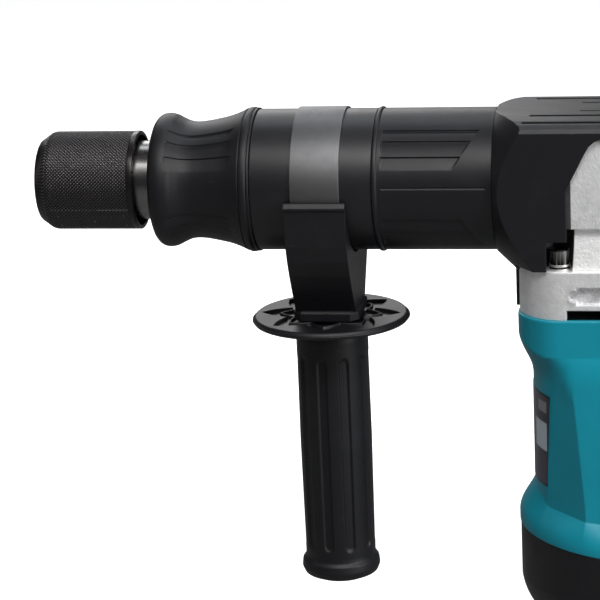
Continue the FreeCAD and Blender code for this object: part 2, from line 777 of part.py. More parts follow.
def crank_shroud():
    """Black plastic cover over the front, top and flanks of the crank housing, cut away round the casting."""
    top, half = size("shroud_top_z"), size("shroud_half")
    start, rear = size("cover_end_x") + 0.05, size("housing_rear_x")
    outer = [
        (0, top), (22, top), (31, top - 0.8), (36, top - 1.9), (38.9, top - 3.4), (half, top - 5.6),
        (half, -39.3), (0, -39.3),
    ]
    shell = section_prism(outer, start, rear)
    front_plate = section_prism([(0, 0), (24, 0), (24, -46.5), (0, -46.5)], start, 251.4)
    slope = Part.makeCone(37.6, 70, 35, Vector(start, 0, 0), Vector(1, 0, 0))
    shell = shell.fuse(front_plate)
    front = shell.common(Part.makeBox(35, 120, 120, Vector(start, -60, -60))).common(slope)
    back = shell.common(Part.makeBox(100, 120, 120, Vector(start + 35, -60, -60)))
    shell = front.fuse(back).removeSplitter()
    inner_half = size("housing_half") + 0.15
    cavity = section_prism(casting_section(0.15) + [(inner_half, -41), (0, -41)], 242.8, rear + 1)
    slope = Part.makeCone(35.2, 67.6, 35, Vector(start, 0, 0), Vector(1, 0, 0))
    near = cavity.common(Part.makeBox(35, 120, 120, Vector(start, -60, -60))).common(slope)
    far = cavity.common(Part.makeBox(120, 120, 120, Vector(start + 35, -60, -60)))
    low = cavity.common(neck_plan(0.15))
    shell = shell.cut(near).cut(far).cut(low)
    shell = shell.cut(Part.makeCylinder(size("barrel_core") + 0.1, 30, Vector(230, 0, 0), Vector(1, 0, 0)))
    corners = [
        (277.5, -50), (277.5, 2), (287.5, 21.5), (289.4, 24.6), (292.0, 26.9), (295.5, 28.3),
        (326, 28.3), (337, 18), (337, -50),
    ]
    window = Part.Face(Part.makePolygon([Vector(x, -60, z) for x, z in corners + corners[:1]]))
    shell = shell.cut(window.extrude(Vector(0, 120, 0)).cut(
        Part.makeBox(200, 2 * inner_half - 8, 200, Vector(200, 4 - inner_half, -100))
    ))
    for x, y in bolt_places():
        outward = 1 if y > 0 else -1
        shell = shell.cut(Part.makeCylinder(6.2, 16, Vector(x, y, -40)))
        shell = shell.cut(Part.makeBox(12.4, 8, 16, Vector(x - 6.2, min(y, y + 8 * outward), -40)))
    for y, wide, deep, groove_start in ((10.5, 2.0, 1.2, 283), (21.5, 3.4, 1.8, 259), (33.2, 2.4, 3.2, 256)):
        for side in (-1, 1):
            corner = Vector(groove_start, side * y - wide / 2, top - deep)
            shell = shell.cut(Part.makeBox(rear - groove_start, wide, deep + 1, corner))
    tongue = Part.makeBox(2.0, 24, 22, Vector(249.4, -12, -64))
    shell = shell.fuse(tongue).removeSplitter()
    return subpart(feature("crank_shroud", shell), "crank_shroud")


def housing_rear_cover():
    """Hollow black cover that tapers from the crank housing's back to the width of the D-handle."""
    start, end = size("housing_rear_x") + 0.05, size("handle_start_x") - 0.3

    def taper(inset, near, far):
        wires = []
        for x, half, low, high, corner in ((near, 39.5, -37, 34.5, 9), (far, 18, -4, 29, 7)):
            wire = rounded_box_wire(low + inset, high - inset, half - inset, corner, 0)
            wire.Placement = Placement(Vector(x, 0, 0), Rotation(Vector(0, 1, 0), -90))
            wires.append(wire)
        return Part.makeLoft(wires, True, True)

    cover = taper(0, start, end).cut(taper(2.5, start - 0.01, end - 2.5))
    return subpart(feature("housing_rear_cover", cover), "housing_rear_cover")


# ---------------------------------------------------------------- motor


def motor_skin(inset):
    """Solid inside the motor housing's outer surface, brought in by a wall thickness."""
    motor = size("motor_x")
    front = size("bracket_front_x") - 0.8
    round_radius, flare = size("motor_radius"), size("flare_radius")
    stations = [
        (size("bracket_bottom_z"), motor - front, 40.8, 24),
        (-78, motor - front, 40.8, 24),
        (-92, 43.2, 41.2, 30),
        (-104, 41.2, 41.2, 34),
        (-154, 42.0, 42.0, 36),
        (-165, round_radius, round_radius, 39),
        (-174, flare, flare, 47),
        (-200, flare, flare, 47),
    ]
    wires = [
        rounded_box_wire(motor - a + inset, motor + a - inset, b - inset, r - inset, z)
        for z, a, b, r in stations
    ]
    return Part.makeLoft(wires, True, True)


def below_parting(depth):
    """Everything under the slanted joint between the motor housing and the tail cover."""
    block = Part.makeBox(160, 140, 80, Vector(-50, -70, -80))
    block.rotate(Vector(), Vector(0, 1, 0), math.degrees(math.atan(size("parting_slope"))))
    block.translate(Vector(250, 0, size("parting_front_z") + depth))
    return block


def swung(shape):
    """Turns a shape about the motor's axis to where the brushes stand."""
    shape.rotate(Vector(size("motor_x"), 0, 0), Vector(0, 0, 1), size("brush_turn"))
    return shape


def motor_housing():
    """Moulded motor housing: square collar on top, round waist, and a flare at the slanted joint."""
    wall = size("motor_wall")
    shell = motor_skin(0).cut(motor_skin(wall)).cut(below_parting(0))
    motor = size("motor_x")
    for side in (-1, 1):
        panel = Part.makeBox(38, 6, 84, Vector(motor - 19, 38 if side > 0 else -44, -172))
        shell = shell.fuse(panel.cut(motor_skin(wall)))
        out, z = Vector(0, side, 0), size("brush_z")
        boss = swung(Part.makeCylinder(12, 9, Vector(motor, 37 * side, z), out))
        bore = swung(Part.makeCylinder(9.05, 30, Vector(motor, 26 * side, z), out))
        shell = shell.fuse(boss.cut(motor_skin(wall))).cut(bore)
    for x, y in bolt_places():
        post = Part.makeCylinder(5.6, 20, Vector(x, y, size("bracket_bottom_z") - 20))
        shell = shell.fuse(post.common(motor_skin(1.0)))
        shell = shell.cut(Part.makeCylinder(3.05, 10, Vector(x, y, size("bracket_bottom_z") - 9)))
    return subpart(feature("motor_housing", shell.removeSplitter()), "motor_housing")


def tail_cover():
    """Black bowl that closes the motor from below, with a flat foot, air slots and four screw wells."""
    motor, flare, wall = size("motor_x"), size("flare_radius") - 0.5, size("motor_wall")
    bottom = size("tail_bottom_z")

    def bowl(inset):
        radius, foot = flare - inset, bottom + inset
        arc = Part.Arc(
            Vector(radius, 0, -212), Vector(radius - 5.6, 0, -226.5), Vector(radius - 20, 0, foot)
        ).toShape()
        lines = [
            Part.makeLine(Vector(0, 0, foot), Vector(0, 0, -170)),
            Part.makeLine(Vector(0, 0, -170), Vector(radius, 0, -170)),
            Part.makeLine(Vector(radius, 0, -170), Vector(radius, 0, -212)),
            arc,
            Part.makeLine(Vector(radius - 20, 0, foot), Vector(0, 0, foot)),
        ]
        solid = Part.Face(Part.Wire(Part.__sortEdges__(lines))).revolve(Vector(), Vector(0, 0, 1), 360)
        solid.translate(Vector(motor, 0, 0))
        return solid

    shell = bowl(0).cut(bowl(wall)).common(below_parting(-0.05))
    for number in range(7):
        for side in (-1, 1):
            slot = Part.makeBox(30, 2.4, 22, Vector(31, -1.2, -222))
            slot.rotate(Vector(), Vector(0, 0, 1), side * (26 + 7 * number))
            slot.translate(Vector(motor, 0, 0))
            shell = shell.cut(slot)
    for x in (-24, 24):
        for y in (-24, 24):
            well = Part.makeCylinder(3.2, 21, Vector(motor + x, y, bottom - 1))
            post = Part.makeCylinder(5.5, 30, Vector(motor + x, y, bottom))
            shell = shell.fuse(post.common(bowl(0.2))).cut(well)
            shell = shell.cut(Part.makeCylinder(1.6, 40, Vector(motor + x, y, bottom)))
    subpart(feature("tail_cover", shell.removeSplitter()), "tail_cover")
    screws = []
    for x in (-24, 24):
        for y in (-24, 24):
            base = Vector(motor + x, y, bottom + 16.9)
            head = Part.makeCylinder(3.1, 3, base)
            cross = Part.makeBox(4, 0.8, 1.5, base + Vector(-2, -0.4, 0)).fuse(
                Part.makeBox(0.8, 4, 1.5, base + Vector(-0.4, -2, 0))
            )
            screws.append(head.cut(cross).fuse(Part.makeCylinder(1.55, 9, base + Vector(0, 0, 3))))
    subpart(feature("tail_screws", Part.makeCompound(screws)), "tail_screws")


def motor_internals():
    """Stator with its coils, and the bridge that carries the brushes and the lower bearing."""
    motor = size("motor_x")
    outer, bore = size("stator_radius"), size("stator_bore")
    stack = Part.makeCylinder(outer, 50).cut(Part.makeCylinder(bore, 50))
    for side in (-1, 1):
        slot = Part.makeBox(14, 40, 50, Vector(-7, side * 28 - 20, 0))
        ring = Part.makeCylinder(33, 50).cut(Part.makeCylinder(bore - 1, 50))
        stack = stack.cut(slot.common(ring))
    subpart(place(feature("stator_core", stack), "motor_x", "0", "-140"), "stator_core")
    coils = []
    for z in (-147.6, -89.95):
        ring = Part.makeCylinder(32, 7.5).cut(Part.makeCylinder(24.5, 7.5))
        ring.translate(Vector(motor, 0, z))
        coils.append(ring)
    subpart(feature("field_coils", Part.makeCompound(coils)), "field_coils")
    floor = Part.makeCylinder(46.4, 4, Vector(motor, 0, -179.5))
    hub = Part.makeCylinder(15, 10, Vector(motor, 0, -189))
    bridge = floor.fuse(hub)
    bridge = bridge.cut(Part.makeCylinder(12.02, 8.6, Vector(motor, 0, -188.6)))
    bridge = bridge.cut(Part.makeCylinder(6, 20, Vector(motor, 0, -192)))
    for number in range(6):
        hole = Part.makeCylinder(6, 6, Vector(motor + 27, 0, -180))
        hole.rotate(Vector(motor, 0, 0), Vector(0, 0, 1), 60 * number + 30)
        bridge = bridge.cut(hole)
    for side in (-1, 1):
        foot = Part.makeBox(18, 10, 12, Vector(motor - 9, side * 28 - 5, -177))
        bridge = bridge.fuse(foot)
        tube_hole = Part.makeCylinder(8.05, 60, Vector(motor, side * 16, size("brush_z")), Vector(0, side, 0))
        bridge = bridge.cut(tube_hole)
    subpart(feature("brush_bridge", swung(bridge.removeSplitter())), "brush_bridge")


def brush_gear():
    """Brush holders, caps, carbon brushes and brush springs, facing each other across the commutator."""
    motor, z = size("motor_x"), size("brush_z")
    holders, caps, brushes, springs = [], [], [], []
    for side in (-1, 1):
        out = Vector(0, side, 0)
        tube_solid = Part.makeCylinder(8, 19.5, Vector(motor, 17 * side, z), out)
        slot = Part.makeBox(8.2, 60, 11.2, Vector(motor - 4.1, side * 35 - 30, z - 5.6))
        holders.append(tube_solid.cut(slot))
        cap = Part.makeCylinder(9, 6.6, Vector(motor, 38.9 * side, z), out)
        plug = Part.makeCylinder(5, 3, Vector(motor, 37 * side, z), out)
        coin_slot = Part.makeBox(13, 3, 1.6, Vector(motor - 6.5, side * 45.5 - 1.5, z - 0.8))
        caps.append(cap.fuse(plug).cut(coin_slot))
        carbon = Part.makeBox(8, 13, 11, Vector(motor - 4, 14.06 if side > 0 else -27.06, z - 5.5))
        wear = Part.makeCylinder(14.05, 12, Vector(motor, 0, z - 6))
        brushes.append(carbon.cut(wear))
        turn = Rotation(Vector(1, 0, 0), -90 * side)
        name = "left" if side < 0 else "right"
        spring = moved(coil("brush_spring_" + name, 27.7, 36.3, 3.0, 0.4, 5, turn), motor, 0, z)
        about = Rotation(Vector(0, 0, 1), size("brush_turn"))
        spring.Placement = Placement(Vector(), about, Vector(motor, 0, 0)) * spring.Placement
        springs.append(spring)
    subpart(feature("carbon_brushes", swung(Part.makeCompound(brushes))), "carbon_brushes")
    subpart(group("brush_springs", springs), "brush_springs")
    subpart(feature("brush_holders", swung(Part.makeCompound(holders))), "brush_holders")
    subpart(feature("brush_caps", swung(Part.makeCompound(caps))), "brush_caps")


def rating_label():
    """Thin blank plate wrapped round the front of the motor's waist."""
    motor = size("motor_x")
    skin = motor_skin(-0.6).cut(motor_skin(-0.05))
    plate = Part.makeBox(30, 70, 50, Vector(motor - 50, -35, -156.5)).common(skin)
    return subpart(feature("rating_label", plate), "rating_label")


# ---------------------------------------------------------------- rear D-handle


def handle_profile(inset):
    """Closed face of the D-handle in side view: a soft-cornered bow with a hand opening."""
    start = size("handle_start_x")
    grown = [
        (start, 31, 6), (398, 28, 26), (431, 8, 22), (437, -70, 80), (428, -176, 26),
        (414, -204, 14), (325, -206, 3), (325, -166, 3), (378, -160, 10), (398, -140, 18),
        (402, -60, 60), (396, -20, 16), (384, -6, 12), (start, -5, 2),
    ]
    centre = []
    count = len(grown)
    for i in range(count):
        near = [grown[(i + k) % count] for k in (-1, 0, 1)]
        before, here, after = (Vector(x, 0, z) for x, z, _ in near)
        centre.append((before, here, after, grown[i][2]))
    edges, last, first = [], None, None
    for before, here, after, radius in centre:
        back, ahead = (before - here).normalize(), (after - here).normalize()
        half_angle = back.getAngle(ahead) / 2
        longest = 0.45 * min((before - here).Length, (after - here).Length)
        reach = min(radius / math.tan(half_angle), longest)
        radius = reach * math.tan(half_angle)
        start, end = here + back * reach, here + ahead * reach
        bisector = (back + ahead).normalize()
        middle = here + bisector * (radius / math.sin(half_angle) - radius)
        if last is not None:
            edges.append(Part.makeLine(last, start))
        else:
            first = start
        edges.append(Part.Arc(start, middle, end).toShape())
        last = end
    edges.append(Part.makeLine(last, first))
    wire = Part.Wire(edges)
    if inset:
        wire = wire.makeOffset2D(-inset)
    return Part.Face(wire)


def rear_handle():
    """Two mirrored shells with a switch bay, the soft rear grip, the screws and the cable gland."""
    half, wall = size("handle_half"), size("handle_wall")
    outer = handle_profile(0).extrude(Vector(0, half, 0))
    rim = [edge for edge in outer.Edges if all(abs(v.Y - half) < 1e-6 for v in edge.Vertexes)]
    outer = outer.makeFillet(7, rim)
    inner = handle_profile(wall).extrude(Vector(0, half - wall, 0))
    grip_zone = Part.makeBox(80, 60, 130, Vector(417, -30, -150))
    soft_outer = outer.common(grip_zone)
    bay = Part.makeBox(24, 22, 84, Vector(388, -11, -108))
    gland_seat = Part.makeCylinder(8.1, 40, Vector(420, 0, -187), Vector(1, 0, -0.35))
    saddle = Part.makeCylinder(size("flare_radius") + 1.6, 90, Vector(size("motor_x"), 0, -240))
    screw_points = ((376, 13), (425, 4), (422, -168), (362, -186))
    shell = outer.cut(inner).cut(saddle)
    posts = [Part.makeCylinder(4.5, half - 2, Vector(x, 0, z), Vector(0, 1, 0)) for x, z in screw_points]
    shell = shell.multiFuse(posts).common(outer)
    under_skin = handle_profile(2.0).extrude(Vector(0, half - 2, 0))
    recess = grip_zone.cut(under_skin)
    soft_skin = outer.common(recess)
    shell = shell.cut(recess).cut(bay).cut(gland_seat)
    holes = [Part.makeCylinder(1.5, 40, Vector(x, -1, z), Vector(0, 1, 0)) for x, z in screw_points]
    shell = shell.cut(Part.makeCompound(holes))
    head_wells = [
        Part.makeCylinder(3.4, 10, Vector(x, half - 3, z), Vector(0, 1, 0)) for x, z in screw_points
    ]
    mirror = FreeCAD.Matrix(1, 0, 0, 0, 0, -1, 0, 0, 0, 0, 1, 0, 0, 0, 0, 1)
    right = shell.removeSplitter()
    left = right.cut(Part.makeCompound(head_wells)).transformGeometry(mirror)
    button_hole = Part.makeCylinder(5.2, 30, Vector(412, -30, -34), Vector(0, 1, 0))
    left = left.cut(button_hole)
    left = left.cut(Part.makeBox(200, 5, 300, Vector(300, -0.02, -250)))
    right = right.cut(Part.makeBox(200, 5, 300, Vector(300, -4.98, -250)))
    subpart(feature("handle_left_shell", left), "handle_left_shell")
    subpart(feature("handle_right_shell", right), "handle_right_shell")
    soft = soft_skin.fuse(soft_skin.transformGeometry(mirror)).removeSplitter()
    subpart(feature("rear_soft_grip", soft), "rear_soft_grip")
    screws = []
    for x, z in screw_points:
        head = Part.makeCylinder(3.2, 2.6, Vector(x, -half + 3, z), Vector(0, -1, 0))
        drive = Part.makeBox(4, 1.4, 0.8, Vector(x - 2, -half + 0.3, z - 0.4)).fuse(
            Part.makeBox(0.8, 1.4, 4, Vector(x - 0.4, -half + 0.3, z - 2))
        )
        shank = Part.makeCylinder(1.45, 2 * half - 8, Vector(x, -half + 3, z), Vector(0, 1, 0))
        screws.append(head.cut(drive).fuse(shank))
    subpart(feature("handle_screws", Part.makeCompound(screws)), "handle_screws")
    gland_axis, gland_root, bore = Vector(1, 0, -0.35), Vector(421, 0, -187.35), size("cable_bore")
    gland = Part.makeCylinder(8, 17, gland_root, gland_axis)
    gland = gland.cut(Part.makeCylinder(bore, 17, gland_root, gland_axis))
    gland = gland.cut(Part.makeCone(bore + 1.6, bore, 2, gland_root, gland_axis))
    subpart(feature("cable_gland", gland), "cable_gland")


def switch_gear():
    """Trigger lever, its spring, the switch it presses and the lock-on button."""
    plate = [(401, -28), (391, -31), (387.5, -60), (389, -96), (396, -104), (404, -102), (404, -30)]
    lever = Part.Face(Part.makePolygon([Vector(x, -10, z) for x, z in plate + plate[:1]]))
    lever = lever.extrude(Vector(0, 20, 0))
    long_edges = [e for e in lever.Edges if all(x.X < 400 for x in e.Vertexes) and len(e.Vertexes) == 2]
    lever = lever.makeFillet(2.5, [e for e in long_edges if abs(e.Vertexes[0].Y - e.Vertexes[1].Y) < 1e-6])
    pivot = Part.makeCylinder(2.05, 24, Vector(400.5, -12, -33), Vector(0, 1, 0))
    subpart(feature("trigger", lever.cut(pivot)), "trigger")
    pin = Part.makeCylinder(2.0, 21.6, Vector(400.5, -10.8, -33), Vector(0, 1, 0))
    subpart(feature("trigger_pin", pin), "trigger_pin")
    body = Part.makeBox(14, 19, 44, Vector(412.5, -9.5, -96)).fuse(
        Part.makeBox(2, 6, 10, Vector(411.5, -3, -84))
    )
    subpart(feature("switch", body), "switch")
    spring = coil("trigger_spring", 404.4, 411.1, 3.0, 0.3, 5, ALONG_X)
    subpart(moved(spring, 0, 0, -90), "trigger_spring")
    stem = Part.makeCylinder(5, 8, Vector(412, -20.5, -34), Vector(0, 1, 0))
    subpart(feature("lock_button", stem), "lock_button")


# ---------------------------------------------------------------- side handle


def side_handle():
    """Steel band, saddle, guard disc, clamp bolt and the grip that screws up the bolt."""
    x, width = size("band_x"), size("band_width")
    inner = size("barrel_radius") + 0.05
    outer = inner + size("band_thickness")
    start = ("band_x - band_width / 2", "0", "0")
    band = tube("band_ring", str(outer), str(inner), "band_width", start, ALONG_X)
    lug = Part.makeBox(width, 12, 3, Vector(x - width / 2, -6, -outer - 2.5))
    subpart(fuse("band_with_lug", band, feature("band_lug", lug)), "band_clamp")
    half = [
        (0, -3.8), (39.6, -3.8), (41.2, -6.1), (41.2, -7.2), (40.2, -8.0), (40.2, -20), (38.8, -27),
        (35.6, -35.5), (31.2, -44), (26.0, -52.5), (20.6, -60.5), (17, -66.4), (0, -66.4),
    ]
    depth = 31.4
    saddle = section_prism(half, x - depth / 2, x + depth / 2)
    saddle = saddle.cut(Part.makeCylinder(outer + 0.1, 60, Vector(x - 30, 0, 0), Vector(1, 0, 0)))
    saddle = saddle.cut(Part.makeBox(width + 0.4, 12.6, 15.5, Vector(x - width / 2 - 0.2, -6.3, -52)))
    plate = [(17, 15), (13, 19), (-13, 19), (-17, 15), (-17, -15), (-13, -19), (13, -19), (17, -15)]
    foot = Part.Face(Part.makePolygon([Vector(x + a, b, -71.4) for a, b in plate + plate[:1]]))
    foot = foot.extrude(Vector(0, 0, 5.0))
    foot = foot.makeChamfer(1.0, [e for e in foot.Edges if all(v.Z > -67 for v in e.Vertexes)])
    saddle = saddle.fuse(foot).cut(Part.makeCylinder(4.1, 60, Vector(x, 0, -100)))
    subpart(feature("handle_saddle", saddle.removeSplitter()), "handle_saddle")
    disc = Part.makeCylinder(size("guard_radius"), 4, Vector(x, 0, size("guard_z") - 3.6))
    disc = disc.makeFillet(1.8, [e for e in disc.Edges if e.Length > 100])
    disc = disc.cut(Part.makeCylinder(10, 8, Vector(x, 0, size("guard_z") - 6)))
    arrow = [(21.5, -4.5), (35, 0), (21.5, 4.5), (24, 0), (21.5, -4.5)]
    for number in range(8):
        outline = Part.makePolygon([Vector(x + a, b, size("guard_z") - 1.6) for a, b in arrow])
        petal = Part.Face(outline).extrude(Vector(0, 0, 4))
        petal.rotate(Vector(x, 0, 0), Vector(0, 0, 1), 45 * number + 22.5)
        disc = disc.cut(petal)
    subpart(feature("hand_guard", disc), "hand_guard")
    shank = Part.makeCylinder(4.0, 84, Vector(x, 0, -132))
    head = Part.makeBox(22, 12, 5.5, Vector(x - 11, -6, -48.1))
    subpart(feature("clamp_bolt", shank.fuse(head)), "clamp_bolt")


def side_grip():
    """Fluted hollow grip with a rolled end, and the long nut moulded into its top."""
    x, radius, end = size("band_x"), size("grip_radius"), size("grip_end_z")
    profile = [
        (radius - 1.6, -75.9), (radius - 1.6, -80.5), (radius - 0.7, -84.5), (radius, -140),
        (radius - 0.6, -202), (radius - 0.6, -205), (radius + 1.0, -207.5), (radius + 1.6, -211),
        (radius + 0.6, -214.5), (radius - 4, end), (0, end), (0, -75.9),
    ]
    corners = [Vector(r, 0, z) for r, z in profile]
    solid = Part.Face(Part.makePolygon(corners + corners[:1])).revolve(Vector(), Vector(0, 0, 1), 360)
    for number in range(10):
        flute = Part.makeCylinder(2.2, 112, Vector(radius + 1.0, 0, -199))
        flute.rotate(Vector(), Vector(0, 0, 1), 36 * number + 12)
        solid = solid.cut(flute)
    solid.translate(Vector(x, 0, 0))
    nut_hole = Part.makeCylinder(8, 40, Vector(x, 0, -115.9))
    well = Part.makeCylinder(5, 60, Vector(x, 0, -150))
    solid = solid.cut(nut_hole).cut(well)
    subpart(feature("side_grip", solid), "side_grip")
    nut = Part.makeCylinder(7.95, 39.8, Vector(x, 0, -115.85))
    nut = nut.cut(Part.makeCylinder(4.06, 50, Vector(x, 0, -120)))
    subpart(feature("grip_nut", nut), "grip_nut")


# ---------------------------------------------------------------- build, check and write

tool_holder()
chuck_sleeve()
barrel()
front_grip_cover()
rear_barrel_cover()
cylinder_liner()
hammer_parts()
crank_bearings = crank_parts()
motor_bearings = armature_parts()
bearings(crank_bearings, motor_bearings)
motor_bracket()
bracket_bolts()
crank_housing()
crank_shroud()
housing_rear_cover()
motor_housing()
tail_cover()
motor_internals()
brush_gear()
rating_label()
rear_handle()
switch_gear()
side_handle()
side_grip()
doc.recompute()

faults = [thing.Label for thing in doc.Objects if {"Invalid", "Error"} & set(thing.State)]
for piece in SUBPARTS:
    if piece.Shape.isNull() or not piece.Shape.isValid() or not piece.Shape.Solids:
        faults.append(piece.Label + " shape")
if faults:
    raise RuntimeError("failed objects: " + ", ".join(faults))

os.makedirs("parts", exist_ok=True)
for piece in SUBPARTS:
    piece.Shape.exportStep(os.path.join("parts", piece.Label + ".step"))
print(len(SUBPARTS), "pieces written")
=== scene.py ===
"""Looks for the electric jackhammer, built around its CAD frame.

Lengths are millimetres, and MM turns them into the scene's metres. X runs back along the barrel from
the tool holder's mouth, Z is up and the near side faces -Y. A turn is in degrees, an angle in radians.
"""

import json
import math

import bmesh
import bpy
from mathutils import Matrix, Vector


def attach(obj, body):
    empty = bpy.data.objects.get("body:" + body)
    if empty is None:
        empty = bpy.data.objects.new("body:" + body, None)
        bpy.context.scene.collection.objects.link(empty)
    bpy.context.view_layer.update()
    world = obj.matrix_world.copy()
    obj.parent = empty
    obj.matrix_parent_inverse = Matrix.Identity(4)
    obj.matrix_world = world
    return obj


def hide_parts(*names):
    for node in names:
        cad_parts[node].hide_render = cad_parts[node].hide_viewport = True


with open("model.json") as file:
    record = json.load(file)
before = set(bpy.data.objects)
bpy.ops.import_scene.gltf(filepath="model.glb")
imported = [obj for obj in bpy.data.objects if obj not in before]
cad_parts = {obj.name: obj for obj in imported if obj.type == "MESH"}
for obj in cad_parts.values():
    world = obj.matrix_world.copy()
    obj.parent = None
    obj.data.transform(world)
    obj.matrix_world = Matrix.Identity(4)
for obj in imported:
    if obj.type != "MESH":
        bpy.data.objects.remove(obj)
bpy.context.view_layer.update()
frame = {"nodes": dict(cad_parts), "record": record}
MM = 0.001
BARREL_RADIUS = 36.5
MOTOR_X = 298.0
HANDLE_X = 150.7


# ---------------------------------------------------------------- materials


class Shader:
    """A small builder for a procedural Principled material."""

    def __init__(self, name, colour, roughness, metallic=0.0, specular=0.5):
        self.material = bpy.data.materials.new(name)
        self.material.use_nodes = True
        self.tree = self.material.node_tree
        self.bsdf = self.tree.nodes["Principled BSDF"]
        self.coords = self.node("ShaderNodeTexCoord").outputs["Object"]
        self.colour = self.rgb(colour)
        self.roughness = self.value(roughness)
        self.bsdf.inputs["Metallic"].default_value = metallic
        self.bsdf.inputs["Specular IOR Level"].default_value = specular
        self.normal = None

    def node(self, kind, **settings):
        made = self.tree.nodes.new(kind)
        for key, setting in settings.items():
            setattr(made, key, setting)
        return made

    def link(self, out, into):
        self.tree.links.new(out, into)

    def rgb(self, colour):
        made = self.node("ShaderNodeRGB")
        made.outputs[0].default_value = (*colour, 1.0)
        return made.outputs[0]

    def value(self, number):
        made = self.node("ShaderNodeValue")
        made.outputs[0].default_value = number
        return made.outputs[0]

    def math(self, operation, a, b=None, clamp=False):
        made = self.node("ShaderNodeMath", operation=operation, use_clamp=clamp)
        for socket, source in zip(made.inputs, (a, b)):
            if source is None:
                continue
            if isinstance(source, (int, float)):
                socket.default_value = source
            else:
                self.link(source, socket)
        return made.outputs[0]

    def stretched(self, scale):
        mapping = self.node("ShaderNodeMapping")
        mapping.inputs["Scale"].default_value = scale
        self.link(self.coords, mapping.inputs["Vector"])
        return mapping.outputs["Vector"]

    def noise(self, scale, detail=4.0, rough=0.6, stretch=None):
        made = self.node("ShaderNodeTexNoise")
        self.link(self.stretched(stretch) if stretch else self.coords, made.inputs["Vector"])
        made.inputs["Scale"].default_value = scale
        made.inputs["Detail"].default_value = detail
        made.inputs["Roughness"].default_value = rough
        return made.outputs["Fac"]

    def cells(self, scale):
        """Distance to the nearest of a field of scattered points."""
        made = self.node("ShaderNodeTexVoronoi", feature="F1")
        self.link(self.coords, made.inputs["Vector"])
        made.inputs["Scale"].default_value = scale
        return made.outputs["Distance"]

    def band(self, source, zero, one):
        """A mask that rises from 0 to 1 as the source goes from one number to the other."""
        made = self.node("ShaderNodeMapRange", clamp=True)
        self.link(source, made.inputs["Value"])
        made.inputs["From Min"].default_value = zero
        made.inputs["From Max"].default_value = one
        return made.outputs["Result"]

    def place(self):
        """The three object coordinates, in metres."""
        split = self.node("ShaderNodeSeparateXYZ")
        self.link(self.coords, split.inputs[0])
        return split.outputs

    def between(self, source, low, high, low_fade, high_fade=None):
        """A mask that is 1 between two lengths and fades out just inside them."""
        rise = self.band(source, low * MM, (low + low_fade) * MM)
        fall = self.band(source, high * MM, (high - (high_fade or low_fade)) * MM)
        return self.math("MULTIPLY", rise, fall)

    def edges(self, low=0.52, high=0.6):
        """Pointiness of the mesh, high on outer edges."""
        return self.band(self.node("ShaderNodeNewGeometry").outputs["Pointiness"], low, high)

    def tint(self, mask, colour, strength=1.0):
        """Mixes a colour in where the mask is high."""
        made = self.node("ShaderNodeMix", data_type="RGBA")
        self.link(self.math("MULTIPLY", mask, strength), made.inputs["Factor"])
        self.link(self.colour, made.inputs["A"])
        made.inputs["B"].default_value = (*colour, 1.0)
        self.colour = made.outputs["Result"]
        return self

    def roughen(self, mask, amount):
        self.roughness = self.math("ADD", self.roughness, self.math("MULTIPLY", mask, amount), clamp=True)
        return self

    def soften(self, radius):
        """Rounds sharp edges in the shading."""
        made = self.node("ShaderNodeBevel", samples=6)
        made.inputs["Radius"].default_value = radius * MM
        self.normal = made.outputs["Normal"]
        return self

    def bump(self, height, depth, strength=1.0):
        made = self.node("ShaderNodeBump")
        made.inputs["Strength"].default_value = strength
        made.inputs["Distance"].default_value = depth * MM
        self.link(height, made.inputs["Height"])
        if self.normal:
            self.link(self.normal, made.inputs["Normal"])
        self.normal = made.outputs["Normal"]
        return self

    def done(self):
        self.link(self.colour, self.bsdf.inputs["Base Color"])
        self.link(self.roughness, self.bsdf.inputs["Roughness"])
        if self.normal:
            self.link(self.normal, self.bsdf.inputs["Normal"])
        return self.material


def moulded(name, colour, roughness, grain=0.02, soften=0.6, specular=0.5, dust=(0.05, 0.05, 0.055)):
    """Injection-moulded plastic or rubber: a spark-eroded grain, uneven gloss, and faint dust and scuffs."""
    look = Shader(name, colour, roughness, specular=specular)
    look.soften(soften)
    look.roughen(look.noise(90, 5, 0.65), 0.10)
    look.roughen(look.noise(700, 2, 0.5), 0.06)
    look.tint(look.band(look.noise(60, 6, 0.7), 0.55, 0.8), dust, 0.12)
    look.tint(look.band(look.noise(420, 3, 0.6, stretch=(0.25, 1, 1)), 0.68, 0.76), dust, 0.25)
    look.bump(look.noise(2600, 3, 0.6), grain)
    return look.done()


def steel(name, colour, roughness, soften=0.5, scratch=(0.06, 1, 1)):
    """Machined steel with fine turning marks, smudges and small scratches."""
    look = Shader(name, colour, roughness, metallic=1.0)
    look.soften(soften)
    marks = look.noise(1400, 3, 0.6, stretch=scratch)
    look.roughen(marks, 0.10)
    look.roughen(look.noise(70, 5, 0.6), 0.12)
    look.tint(look.band(look.noise(55, 6, 0.7), 0.5, 0.8), tuple(0.5 * c for c in colour), 0.4)
    look.bump(marks, 0.012)
    return look.done()


